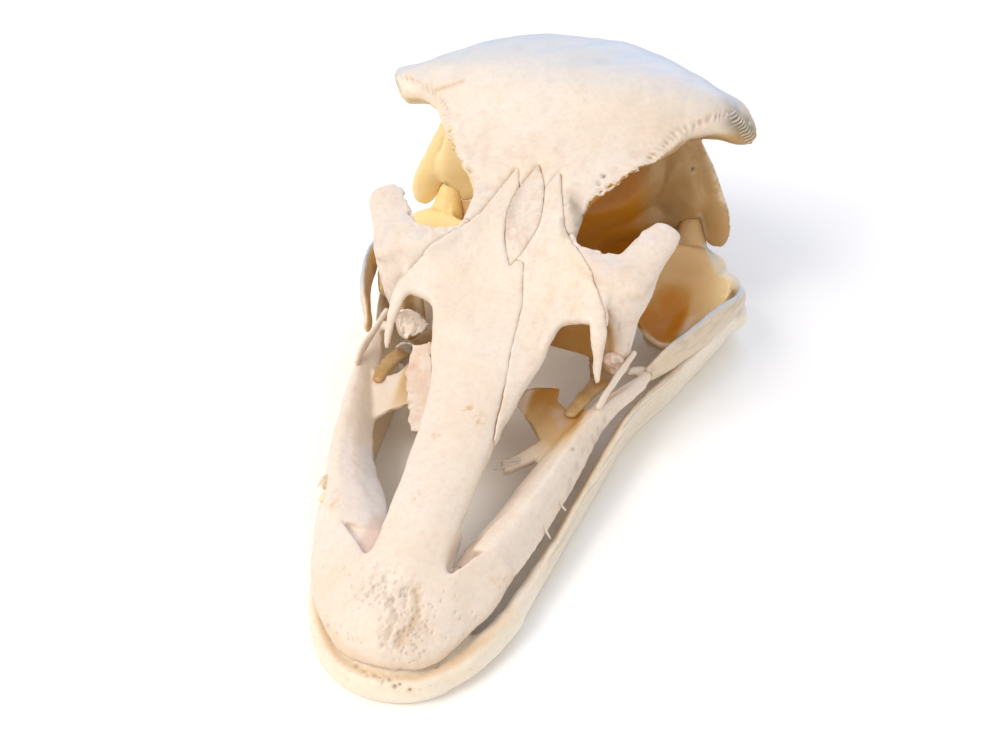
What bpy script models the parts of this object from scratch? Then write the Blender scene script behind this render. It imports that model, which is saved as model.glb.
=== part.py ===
"""Ostrich skull, life size, resting on its lower jaw.

Lengths in the tables are millimetres on a skull of REFERENCE_LENGTH: x to the skull's left,
y back from the bill tip, z up from the floor. Left bones are drawn, right ones are mirrored.
"""

import math

import bmesh
import bpy
import numpy as np

# Driving dimensions
SKULL_LENGTH = 0.187  # lower bill tip to the occipital condyle
REFERENCE_LENGTH = 187.0
MM = SKULL_LENGTH / REFERENCE_LENGTH

WING_SPAN = 95.6  # across the postorbital wings, half way up their ends
WING_LIP = 0.8  # how far a wing's end reaches past its plate
WING_MIDDLE = 53.2  # height at which the span is measured
BRAIN_WIDTH = 60.0  # across the braincase
DOME_TOP = 70.8  # floor to the top of the braincase
BILL_WIDTH = 45.0  # across the upper bill behind its tip
JAW_SPAN = 101.0  # across the jaw joints
SUTURE = 0.3  # gap between neighbouring bones
CHEEK_LEAN = 1.6  # how far the cheek bars lean to the skull's right

# Stations along the skull, from the bill tip
LOWER_TIP = 4.5
UPPER_TIP = 8.6
NOSTRIL_FRONT = 28.8
ARCH = 90.0  # rear end of the long nostril
BILL_SEAM = 37.0  # where the side bars of the upper jaw leave the tip
LENS_FRONT, LENS_BACK = 103.0, 128.5
EAR = 112.0
DOME = 163.0
CONDYLE = 191.5
NOSE_FLOOR = 19.4  # lower edge of the plate between nose and eye socket
BACK_WALL = 1.5  # its thickness
SEPTUM_FLOOR = 25.4  # height of the seam between the mesethmoid and the rostrum under it
MIDDLE = (LOWER_TIP + CONDYLE) / 2

ORBIT_MIDDLE = (30.5, 127, 40)
ORBIT_RADII = (28.5, 23, 12.5)
ORBIT_TURN = 24.0  # degrees that the socket tips back
FORAMEN_MIDDLE = (0, CONDYLE - 6, 39.5)  # hole for the spinal cord
FORAMEN_RADII = (5.5, 9, 5.2)

# Fineness
VOXEL = 0.7
SOFTEN = 3
HEAD_TRIANGLES = 5300
JAW_TRIANGLES = 2200
QUADRATE_TRIANGLES = 620
SCRAP = 20  # a loose surface of fewer points than this is left out
FAR = 200.0  # past every bone

# How far the dried upper jaw has warped to the skull's right, at stations from the bill tip
JAW_WARP = [(5, 1.2), (20, 1.5), (29, 1.8), (39, 2.4), (52, 3.2), (67, 4.2), (84, 4.5), (92, 3), (99, 1.2), (106, 0)]
WARP_FROM = 10.0  # distance from the midline where the warp starts
WARP_OVER = 8.0  # breadth over which it grows to its full amount

LEFT, RIGHT = 1, -1
SIDES = {LEFT: "l", RIGHT: "r"}
# Where the two sides of this skull differ
POSTORBITAL_LOBE = {LEFT: 5.2, RIGHT: 4.4}  # half width of the lobe behind each eye
EAR_SPREAD = {LEFT: 0.0, RIGHT: 1.8}  # how far the tip of each tear bone is turned out
WING_SLANT = {LEFT: 0.75, RIGHT: -0.25}  # how far a wing's end leans in for each millimetre of height

BONE = ("bone_ivory", (0.83, 0.76, 0.62), 0.5)
PALE = ("bone_pale", (0.86, 0.82, 0.73), 0.5)
AMBER = ("bone_amber", (0.62, 0.42, 0.2), 0.4)
HORNY = ("bone_jaw", (0.8, 0.71, 0.52), 0.45)


def clear_scene():
    for item in list(bpy.data.objects):
        bpy.data.objects.remove(item)


def new_collection(name):
    made = bpy.data.collections.new(name)
    bpy.context.scene.collection.children.link(made)
    return made


def material(spec):
    name, colour, roughness = spec
    made = bpy.data.materials.get(name)
    if made is None:
        made = bpy.data.materials.new(name)
        made.use_nodes = True
        shader = made.node_tree.nodes["Principled BSDF"]
        shader.inputs["Base Color"].default_value = (*colour, 1.0)
        shader.inputs["Roughness"].default_value = roughness
        shader.inputs["Metallic"].default_value = 0.0
    return made


def smooth_rows(rows, steps):
    """Catmull-Rom curve through the rows, each column on its own."""
    rows = np.array(rows, float)
    padded = np.vstack([2 * rows[0] - rows[1], rows, 2 * rows[-1] - rows[-2]])
    out = []
    for i in range(1, len(padded) - 2):
        before, start, end, after = padded[i - 1 : i + 3]
        for t in np.arange(steps) / steps:
            out.append(
                0.5
                * (
                    2 * start
                    + (end - before) * t
                    + (2 * before - 5 * start + 4 * end - after) * t * t
                    + (3 * start - before - 3 * end + after) * t**3
                )
            )
    out.append(rows[-1])
    return np.array(out)


def fan_ends(around, last):
    """Closes the first and the last ring of a loft on a middle point each, which follow its rings."""
    first_pole, last_pole = last + around, last + around + 1
    faces = []
    for j in range(around):
        k = (j + 1) % around
        faces.append((first_pole, k, j))
        faces.append((last_pole, last + j, last + k))
    return faces


def strip_ends(around, last):
    """Closes both ends of a plate whose rings run out along one face and back along the other."""
    faces = []
    for j in range(around // 2 - 1):
        back = around - 1 - j
        faces += [(j + 1, j, back), (j + 1, back, back - 1)]
        faces += [(last + back, last + j, last + j + 1), (last + back - 1, last + back, last + j + 1)]
    return faces


def loft(name, rings, ends=fan_ends):
    """Closed mesh through the rings."""
    rings = np.array(rings, float)
    count, around = rings.shape[:2]
    points = rings.reshape(-1, 3)
    if ends is fan_ends:
        points = np.vstack([points, rings[0].mean(0), rings[-1].mean(0)])
    faces = ends(around, (count - 1) * around)
    for j in range(around):
        k = (j + 1) % around
        for i in range(count - 1):
            a, b = i * around + j, i * around + k
            faces.append((a, b, b + around))
            faces.append((a, b + around, a + around))
    corners = points[np.array(faces)]
    if np.linalg.det(corners).sum() < 0:
        faces = [face[::-1] for face in faces]
    points[:, 1] -= MIDDLE
    mesh = bpy.data.meshes.new(name)
    mesh.from_pydata((points * MM).tolist(), [], faces)
    made = bpy.data.objects.new(name, mesh)
    FORMS.objects.link(made)
    return made


def bar(rows, across, side=LEFT, around=12, steps=4, caps=3):
    """Rounded rod through rows (x, y, z, half width, half thickness), its width laid along across."""
    path = smooth_rows(rows, steps)
    path[:, 0] *= side
    across = np.array(across, float) * (side, 1, 1)
    centre, half = path[:, :3], np.maximum(path[:, 3:5], 0.2)
    along = np.gradient(centre, axis=0)
    along /= np.linalg.norm(along, axis=1)[:, None]
    wide = across - (along @ across)[:, None] * along
    wide /= np.linalg.norm(wide, axis=1)[:, None]
    thick = np.cross(along, wide)
    angle = np.arange(around) * 2 * math.pi / around

    def ring(i, shift, share):
        middle = centre[i] + along[i] * shift
        return (
            middle
            + half[i, 0] * share * np.cos(angle)[:, None] * wide[i]
            + half[i, 1] * share * np.sin(angle)[:, None] * thick[i]
        )

    turns = np.arange(1, caps + 1) * math.pi / 2 / (caps + 0.35)
    start = [ring(0, -half[0, 1] * math.sin(t), math.cos(t)) for t in turns[::-1]]
    end = [ring(-1, half[-1, 1] * math.sin(t), math.cos(t)) for t in turns]
    return loft("bar", start + [ring(i, 0, 1) for i in range(len(path))] + end)


def roof(rows, around=22, steps=4):
    """Arched plate across the skull through rows
    (y, half width, edge height, middle height, middle thickness, edge thickness, arch power)."""
    u = np.sin(np.linspace(-math.pi / 2, math.pi / 2, around // 2))
    rings = []
    for y, half, edge, middle, thick, thin, power in smooth_rows(rows, steps):
        top = edge + (middle - edge) * (1 - np.abs(u) ** power)
        low = top - thin - (thick - thin) * (1 - np.abs(u) ** power)
        upper = np.stack([u * half, np.full_like(u, y), top], -1)
        lower = np.stack([u * half, np.full_like(u, y), low], -1)
        rings.append(np.vstack([upper, lower[::-1]]))
    return loft("roof", rings, strip_ends)


def barrel(rows, around=24, steps=4, power=2.2):
    """Rounded body along the skull through rows (y, lowest, highest, half width)."""
    angle = np.arange(around) * 2 * math.pi / around
    sine, cosine = np.sin(angle), np.cos(angle)
    round_x = np.sign(cosine) * np.abs(cosine) ** (2 / power)
    round_z = np.sign(sine) * np.abs(sine) ** (2 / power)
    rings = []
    for y, low, high, half in smooth_rows(rows, steps):
        x = half * round_x
        z = (low + high) / 2 + (high - low) / 2 * round_z
        rings.append(np.stack([x, np.full_like(x, y), z], -1))
    return loft("barrel", rings)


def ball(centre, radii, turn=0.0, around=20):
    """Ellipsoid, tipped by turn degrees about the x axis."""
    polar = np.linspace(0, math.pi, around // 2 + 1)[1:-1]
    angle = np.arange(around) * 2 * math.pi / around
    tip = math.radians(turn)
    rings = []
    for p in polar:
        x = radii[0] * math.sin(p) * np.cos(angle)
        y = np.full_like(angle, -radii[1] * math.cos(p))
        z = radii[2] * math.sin(p) * np.sin(angle)
        turned = [x, y * math.cos(tip) - z * math.sin(tip), y * math.sin(tip) + z * math.cos(tip)]
        rings.append(np.stack(turned, -1) + centre)
    return loft("ball", rings)


def wall(path, low, high, width=SUTURE):
    """Thin upright cutter that follows a path of (x, y) points."""
    path = np.array(path, float)
    along = np.gradient(path, axis=0)
    along /= np.linalg.norm(along, axis=1)[:, None]
    path[0] -= along[0] * width
    path[-1] += along[-1] * width
    step = np.diff(path, axis=0)
    step /= np.linalg.norm(step, axis=1)[:, None]
    bend = np.concatenate([[1.0], np.sum(along[1:-1] * step[:-1], axis=1), [1.0]])
    spread = width / 2 / np.clip(bend, 0.4, 1.0)
    out = np.stack([-along[:, 1], along[:, 0]], -1) * spread[:, None]
    rings = []
    for a, b in zip(path + out, path - out):
        rings.append([(*a, low), (*b, low), (*b, high), (*a, high)])
    return loft("wall", rings)


def sheet(outline, level, thickness):
    """Flat plate over an outline of (x, y) points, lying on the plane z = level(x, y)."""
    rings = []
    for lift in (-thickness / 2, thickness / 2):
        rings.append([(x, y, level(x, y) + lift) for x, y in outline])
    count = len(outline)
    faces = [tuple(range(count))[::-1], tuple(range(count, 2 * count))]
    for j in range(count):
        k = (j + 1) % count
        faces.append((j, k, count + k, count + j))
    points = np.vstack(rings)
    area = sum(a[0] * b[1] - b[0] * a[1] for a, b in zip(outline, outline[1:] + outline[:1]))
    if area < 0:
        faces = [face[::-1] for face in faces]
    points[:, 1] -= MIDDLE
    mesh = bpy.data.meshes.new("sheet")
    mesh.from_pydata((points * MM).tolist(), [], faces)
    made = bpy.data.objects.new("sheet", mesh)
    FORMS.objects.link(made)
    return made


def block(low, high):
    (x0, y0, z0), (x1, y1, z1) = low, high
    rings = [[(x0, y, z0), (x1, y, z0), (x1, y, z1), (x0, y, z1)] for y in (y0, y1)]
    return loft("block", rings)


def evaluated_mesh(item):
    bpy.context.view_layer.update()
    graph = bpy.context.evaluated_depsgraph_get()
    return bpy.data.meshes.new_from_object(item.evaluated_get(graph))


def bake(item):
    """Applies an object's modifiers to its mesh."""
    mesh = evaluated_mesh(item)
    item.modifiers.clear()
    item.data = mesh
    return item


def boolean(item, others, operation, solver="MANIFOLD"):
    """Joins or cuts item with all the other objects at once, which are then removed."""
    group = bpy.data.collections.new("operands")
    bpy.context.scene.collection.children.link(group)
    for other in others:
        FORMS.objects.unlink(other)
        group.objects.link(other)
    modifier = item.modifiers.new(operation.lower(), "BOOLEAN")
    modifier.operation = operation
    modifier.operand_type = "COLLECTION"
    modifier.collection = group
    modifier.solver = solver
    bake(item)
    for other in list(group.objects):
        bpy.data.objects.remove(other)
    bpy.data.collections.remove(group)
    return item


def fuse(pieces):
    return boolean(pieces[0], pieces[1:], "UNION")


def cut(item, cutters):
    return boolean(item, cutters, "DIFFERENCE")


def grown(item, gap=SUTURE):
    """Copy of a bone swollen by the gap, to cut room for it in its neighbour."""
    points = np.array([v.co + v.normal * gap * MM for v in item.data.vertices])
    mesh = item.data.copy()
    mesh.vertices.foreach_set("co", points.ravel())
    made = bpy.data.objects.new("grown", mesh)
    FORMS.objects.link(made)
    return made


def make_room(name, *neighbours):
    """Cuts the named bone back from its neighbours by the width of a suture."""
    item = bpy.data.objects[name]
    cut(item, [grown(bpy.data.objects[other]) for other in neighbours])
    found = islands(item.data)
    if len(found) > 1:
        item.data = keep_only(item, found[0])


def soften(item, triangles, voxel=VOXEL, rounds=SOFTEN):
    """Blends the joins of a fused form, then thins its mesh to about the given count."""
    remesh = item.modifiers.new("blend", "REMESH")
    remesh.mode = "VOXEL"
    remesh.voxel_size = voxel * MM
    smooth = item.modifiers.new("smooth", "SMOOTH")
    smooth.factor = 0.5
    smooth.iterations = rounds
    bake(item)
    thin = item.modifiers.new("thin", "DECIMATE")
    thin.use_collapse_triangulate = True
    thin.ratio = min(1.0, triangles / (2 * len(item.data.polygons)))
    return bake(item)


def islands(mesh):
    """Lists of vertex indices, one for each separate surface."""
    parent = list(range(len(mesh.vertices)))

    def root(i):
        while parent[i] != i:
            parent[i] = parent[parent[i]]
            i = parent[i]
        return i

    for edge in mesh.edges:
        a, b = root(edge.vertices[0]), root(edge.vertices[1])
        parent[a] = b
    groups = {}
    for i in range(len(mesh.vertices)):
        groups.setdefault(root(i), []).append(i)
    return sorted(groups.values(), key=len, reverse=True)


def keep_only(item, wanted):
    """Copy of the mesh with the wanted vertices alone."""
    shape = bmesh.new()
    shape.from_mesh(item.data)
    kept = set(wanted)
    unwanted = [v for v in shape.verts if v.index not in kept]
    bmesh.ops.delete(shape, geom=unwanted, context="VERTS")
    mesh = bpy.data.meshes.new(item.name)
    shape.to_mesh(mesh)
    shape.free()
    return mesh


def node(name, item, spec):
    """Turns a finished form into a named bone of its own, keeping its largest surface."""
    found = islands(item.data)
    mesh = keep_only(item, found[0]) if len(found) > 1 else item.data
    bpy.data.objects.remove(item)
    made = bpy.data.objects.new(name, mesh)
    made.data.name = name
    made.data.materials.clear()
    made.data.materials.append(material(spec))
    made.data.shade_smooth()
    made.data.set_sharp_from_angle(angle=math.radians(40))
    SKULL.objects.link(made)
    return made


def part_at_seams(item, seeds):
    """Makes a node of the surface that lies nearest each seed point."""
    points = np.array([v.co for v in item.data.vertices]) / MM
    points[:, 1] += MIDDLE
    groups = [g for g in islands(item.data) if len(g) > SCRAP]
    for name, (seed, spec) in seeds.items():
        reach = [np.linalg.norm(points[g] - seed, axis=1).min() for g in groups]
        mesh = keep_only(item, groups[int(np.argmin(reach))])
        piece = bpy.data.objects.new(name, mesh)
        FORMS.objects.link(piece)
        node(name, piece, spec)
    bpy.data.objects.remove(item)


# Head: braincase, forehead, bridge of the bill and the bones round the orbit


def braincase():
    half = BRAIN_WIDTH / 2
    shell = barrel(
        [
            (133, 25.5, 49, 4),
            (139, 24, 55, 14),
            (145, 22.5, 61, 22),
            (152, 22, 66.5, half - 2.5),
            (158, 22.5, DOME_TOP - 1, half - 0.5),
            (DOME, 23, DOME_TOP, half),
            (168, 23.5, 69.0, half - 0.5),
            (173, 24, 65.0, half - 2.5),
            (178, 25.5, 59.4, half - 6.5),
            (182, 28, 53.0, half - 11.5),
            (185, 31, 47.5, half - 18),
        ]
    )
    base = barrel(
        [
            (138, 20.5, 30, 9),
            (144, 19.5, 32, 18),
            (150, 19, 35, 26),
            (157, 19, 35, 27.5),
            (166, 20, 34, 22),
            (175, 22, 31, 13),
            (184, 25.5, 33, 7),
        ]
    )
    condyle = bar([(0, 180, 30.5, 5, 4), (0, CONDYLE - 4, 30.5, 4.6, 3.8)], (1, 0, 0))
    return [shell, base, condyle]


def forehead():
    wing = WING_SPAN / 2 - WING_LIP
    return roof(
        [
            (104, 15.0, 43.7, 42.2, 4, 2.6, 2),
            (110, 14.4, 47.5, 45.5, 4, 2.6, 2),
            (116, 14.2, 49.8, 48.4, 4, 2.6, 2),
            (121, 15.0, 51.2, 50.8, 4, 2.4, 2),
            (125, 19.0, 52.8, 52.8, 4, 2.2, 2),
            (130, 24.0, 54.0, 55.4, 4, 2.2, 2),
            (137, 28.4, 55.0, 59.3, 5, 2.4, 2.2),
            (143, 31.4, 56.4, 62.9, 6, 2.8, 2.4),
            (147, 34.0, 57.6, 65.2, 7, 3.4, 2.6),
            (150.5, 41.0, 59.6, 67.2, 8, 4.5, 2.6),
            (153.5, wing, 60.4, 68.6, 9, 6.5, 2.7),
            (157, wing - 0.5, 59.2, 69.7, 9, 8, 2.9),
            (161, 41.0, 58.8, DOME_TOP - 0.2, 9, 8, 3.2),
            (165, 34.0, 58.0, DOME_TOP - 0.5, 9, 8, 3.4),
            (169, 28.0, 56.0, 68.2, 9, 8, 3.4),
        ]
    )


def wing_and_postorbital(side):
    lobe = POSTORBITAL_LOBE[side]
    end = WING_SPAN / 2
    arm = bar(
        [
            (20, 160, 56, 9, 9),
            (31, 158.5, 56.8, 8, 7.2),
            (end - 8, 156.6, 56.6, 6.8, 5.4),
            (end - 1, 155.4, 55.8, 6.2, 4.8),
        ],
        (0, 1, 0),
        side,
    )
    process = bar(
        [
            (27, 158, 48, 8, 3.6),
            (31, 156.5, 42, 7.4, 3.0),
            (36.2, 153.2, 36, lobe + 1, 2.2),
            (39.8, 150.8, 31, lobe, 1.9),
            (41.0, 149.4, 27, lobe - 0.6, 1.6),
            (41.2, 148.4, 24.4, lobe - 1.6, 1.3),
        ],
        (1, -0.35, 0.35),
        side,
    )
    temple = bar(
        [
            (22, 154, 48, 10, 3.0),
            (25.5, 152.8, 42, 9.5, 2.4),
            (29, 151.4, 37, 8, 1.8),
            (31.0, 150.8, 34.0, 6, 1.3),
            (29.5, 151.2, 30.5, 5.6, 1.1),
            (27.0, 151.8, 26.6, 4.4, 1.1),
        ],
        (1, -0.2, 0.1),
        side,
    )
    squamosal = bar(
        [
            (24, 166, 42, 9, 5),
            (29.5, 162, 37.5, 6, 4),
            (34, 159.5, 33.5, 3.4, 2.4),
            (36.4, 158.4, 30.5, 1.6, 1.3),
        ],
        (0.2, 1, 0.3),
        side,
    )
    paroccipital = bar(
        [(19, 174, 42, 6, 5), (25, 175.5, 34, 5.5, 3), (28, 175, 26.5, 4, 2.2), (28.4, 174, 21.5, 2, 1.5)],
        (1, -0.4, 0),
        side,
    )
    return [arm, process, temple, squamosal, paroccipital]


def wing_trim(side):
    """Cutter that leaves the end of the wing flat, leaning in and slanting back."""
    rings = []
    for z in (40, 70):
        end = WING_SPAN / 2 - WING_SLANT[side] * (z - WING_MIDDLE)
        outline = [(end - 13, 141), (end, 154.5), (end + 0.5, 172), (FAR, 172), (FAR, 141)]
        rings.append([(side * x, y, z) for x, y in outline])
    return loft("trim", rings)


def septum_and_rostrum():
    septum = barrel(
        [
            (107, 30, 43, 0.6),
            (111, 26.5, 45, 1.1),
            (119, 24, 48.5, 1.2),
            (129, 23.5, 53, 1.3),
            (139, 23.5, 54, 1.8),
        ],
        around=16,
        power=4,
    )
    rostrum = bar(
        [
            (0, 152, 25.5, 5, 4),
            (0, 138, 24.4, 3.2, 2.8),
            (0, 120, 23.6, 2.2, 2.2),
            (0, 100, 22.8, 1.7, 1.7),
            (0, 82, 22.4, 1, 1),
        ],
        (1, 0, 0),
    )
    return [septum, rostrum]


def basipterygoid(side):
    return bar([(3, 146, 23, 3, 2.4), (8, 141.5, 22, 2.4, 2), (11.5, 138.5, 21.4, 2, 1.7)], (0, 1, 0), side)


def nasal_roof():
    return roof(
        [
            (56, 8.6, 23.2, 25.6, 6, 3.0, 2.4),
            (66, 9.4, 25.2, 27.8, 6, 2.6, 2.4),
            (74, 10.6, 27.6, 29.8, 5.5, 2.4, 2.4),
            (82, 13.2, 31.0, 32.3, 5, 2.2, 2.2),
            (88, 14.6, 34.4, 34.3, 4, 2.2, 2),
            (ARCH + 1.4, 15.8, 36.4, 35.5, 4, 2.2, 2),
            (ARCH + 2.8, 18.0, 37.4, 36.1, 4, 2.2, 2),
            (ARCH + 4, 24.8, 38.2, 36.8, 4, 2.2, 2),
            (97, 25.2, 40.0, 38.2, 4, 2.2, 2),
            (100, 24.6, 42.6, 40.0, 4, 2.4, 2),
            (104, 21.6, 45.2, 42.3, 4, 2.4, 2),
            (108, 16.0, 46.8, 44.5, 4, 2.4, 2),
            (112, 13.0, 48.4, 46.6, 4, 2.4, 2),
        ]
    )


def nasal_spur(side):
    return bar(
        [
            (24.0, ARCH + 5, 37.6, 2.8, 1.1),
            (25.0, ARCH + 1.4, 35.6, 2.0, 1.1),
            (25.7, ARCH - 1.8, 31.8, 1.4, 1.0),
            (26.0, ARCH - 4, 28.2, 1.0, 0.8),
            (26.1, ARCH - 5.1, 25.4, 0.6, 0.6),
        ],
        (1, 0.2, 0),
        side,
    )


def nasal_back_wall(side):
    """Upright plate that closes the nose off from the eye socket, under the rear end of the nostril."""
    path = [(7.4, 103), (12, 102.6), (18, 101.6), (24, 100.2), (28, 99.4)]
    return wall([(side * x, y) for x, y in path], NOSE_FLOOR, NOSE_FLOOR + 22, BACK_WALL)


def lacrimal(side):
    spread = EAR_SPREAD[side]
    ear = bar(
        [
            (28.6, 101.0, 42.0, 5.6, 2.0),
            (30.2 + spread * 0.2, 106.0, 44.4, 5.6, 2.0),
            (32.2 + spread * 0.6, 110.5, 46.4, 5.1, 2.0),
            (33.8 + spread, 114.4, 47.8, 4.9, 1.8),
            (34.6 + spread, 116.8, 48.4, 4.2, 1.5),
        ],
        (0.79, -0.57, -0.23),
        side,
        around=14,
    )
    shelf = bar(
        [
            (15.4, 107.0, 45.2, 2.2, 1.4),
            (20.8, 104.6, 44.4, 3.8, 1.8),
            (25.5, 104.0, 44.0, 4.4, 2.0),
            (30.0, 104.0, 43.4, 5.0, 2.0),
        ],
        (0.1, -0.9, -0.42),
        side,
    )
    leg = bar(
        [
            (29.4, 103.6, 43.6, 6.0, 2.1),
            (29.4, 101.4, 40.6, 5.8, 2.0),
            (28.8, 99.2, 35.4, 4.4, 1.9),
            (28.6, 98.8, 29, 2.9, 1.7),
            (28.0, 99.4, 23, 2.3, 1.7),
            (27.2, 99.6, 18.6, 3.2, 2.4),
        ],
        (0.93, 0.2, 0),
        side,
        around=14,
    )
    return [ear, shelf, leg]


def upper_bill():
    half = BILL_WIDTH / 2
    tip = roof(
        [
            (UPPER_TIP, 1.6, 7.4, 8.8, 1.4, 0.7, 2),
            (10, 7.8, 7.6, 11.0, 3.2, 1.2, 2.2),
            (13, 11.8, 8.2, 13.0, 4.6, 1.6, 2.2),
            (17, 15.2, 9.2, 15.0, 5.6, 2.2, 2.2),
            (22, half - 4.2, 10.4, 16.8, 6.4, 2.8, 2.2),
            (28, half - 1.6, 11.6, 18.4, 7.0, 3.4, 2.2),
            (35, half + 0.3, 12.8, 20.0, 7.4, 4.0, 2.2),
            (41, half + 1.8, 13.6, 21.0, 7.4, 4.4, 2.2),
        ],
        around=26,
    )
    bridge = bar(
        [
            (0, 18, 12.5, 6, 2.6),
            (0, 26, 15.0, 8.0, 3.6),
            (0, 34, 17.4, 8.5, 3.8),
            (0, 42, 19.2, 8.4, 3.8),
            (0, 50, 21.0, 8.8, 3.6),
            (0, 60, 22.9, 9.0, 3.4),
            (0, 70, 25.6, 9.6, 3.2),
        ],
        (1, 0, 0),
        around=20,
    )
    return [tip, bridge]


def nostril(side):
    """Cutter of the long nostril's front end, between the culmen and the bill's margin."""
    rows = [
        (9.4, NOSTRIL_FRONT, 16, 0.9, 12),
        (10.6, NOSTRIL_FRONT + 4, 16, 2.5, 12),
        (12.6, NOSTRIL_FRONT + 8.5, 16, 4.4, 12),
        (14.2, NOSTRIL_FRONT + 13, 16, 6.1, 12),
    ]
    rings = []
    for x, y, z, half, tall in smooth_rows(rows, 4):
        corners = [(-half, -tall), (half, -tall), (half, tall), (-half, tall)]
        rings.append([(side * x + across, y, z + up) for across, up in corners])
    return loft("nostril", rings)


def orbit(side):
    """Cutter that hollows the eye socket under the forehead and the wing."""
    return ball((side * ORBIT_MIDDLE[0], *ORBIT_MIDDLE[1:]), ORBIT_RADII, turn=ORBIT_TURN)


def lens_outline(side):
    """Half of the pointed oval that the mesethmoid shows between the forehead bones."""
    length = LENS_BACK - LENS_FRONT
    share = np.linspace(0, 1, 9)
    half = 4.3 * np.sin(math.pi * share) ** 0.8
    return np.stack([side * half, LENS_FRONT + length * share], -1)


def seams():
    """Cutters along the sutures between the bones of the head."""
    premaxilla = [(11.5, 54.5), (9, 60), (7.6, 70), (6.2, 84), (5.2, 96), (3.2, 104.2), (0.4, 104.6)]
    frontal = [(3.0, 122), (5.4, 127.6), (8.2, 120.5), (10.6, 113.5), (12.6, 110.9), (18.5, 111.4)]
    lacrimals = [(12, 111.4), (16, 106.6), (20.2, 102.2), (23.4, 98.6), (25.2, 95.6), (26.4, 93), (28.4, 87)]
    tip = [(10.5, BILL_SEAM), (20, BILL_SEAM), (30, BILL_SEAM)]
    cutters = [block((-6, LENS_FRONT - 1, SEPTUM_FLOOR), (6, LENS_BACK + 1, SEPTUM_FLOOR + SUTURE))]
    for side in SIDES:
        for line in (premaxilla, frontal, lacrimals):
            cutters.append(wall([(side * x, y) for x, y in line], NOSE_FLOOR - 2, 62))
        cutters.append(wall([(side * x, y) for x, y in tip], 0, 30))
        cutters.append(wall(lens_outline(side), SEPTUM_FLOOR, 60))
    return cutters


def build_head():
    pieces = braincase() + [forehead(), nasal_roof()] + septum_and_rostrum() + upper_bill()
    for side in SIDES:
        pieces += wing_and_postorbital(side) + lacrimal(side)
        pieces += [nasal_spur(side), nasal_back_wall(side), basipterygoid(side)]
    head = fuse(pieces)
    hollows = [ball(FORAMEN_MIDDLE, FORAMEN_RADII)]
    for side in SIDES:
        hollows += [orbit(side), nostril(side), wing_trim(side)]
    cut(head, hollows)
    soften(head, HEAD_TRIANGLES)
    cut(head, seams())
    seeds = {
        "cranium": ((0, DOME, DOME_TOP), BONE),
        "mesethmoid": ((0, 116, 48.5), PALE),
        "premaxilla": ((0, 45, 23), BONE),
    }
    for side, letter in SIDES.items():
        seeds["nasal_" + letter] = ((side * 13, 100, 41), BONE)
        seeds["lacrimal_" + letter] = ((side * 33, EAR, 50), PALE)
    part_at_seams(head, seeds)
    warp(bpy.data.objects["premaxilla"])


# Upper jaw, palate and cheek


def ribbon(rows, side=LEFT, steps=4, across=3):
    """Folded plate along the skull through rows
    (y, outer x, z, thickness, crest x, z, thickness, inner x, z, thickness)."""
    rings = []
    for row in smooth_rows(rows, steps):
        section = smooth_rows(row[1:].reshape(3, 3), across)
        along = np.gradient(section[:, :2], axis=0)
        along /= np.linalg.norm(along, axis=1)[:, None]
        out = np.stack([-along[:, 1], along[:, 0]], -1) * section[:, 2:] / 2
        edge = np.vstack([section[:, :2] + out, (section[:, :2] - out)[::-1]])
        rings.append(np.stack([side * edge[:, 0], np.full(len(edge), row[0]), edge[:, 1]], -1))
    return loft("ribbon", rings, strip_ends)


def warp(item):
    """Bends the upper jaw to the skull's right as the dried bone has bent, leaving its ridge straight."""
    stations, shifts = np.array(JAW_WARP).T
    for vertex in item.data.vertices:
        x, y = vertex.co.x / MM, vertex.co.y / MM + MIDDLE
        share = min(1.0, max(0.0, (abs(x) - WARP_FROM) / WARP_OVER))
        vertex.co.x -= MM * np.interp(y, stations, shifts) * share * share * (3 - 2 * share)


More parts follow.
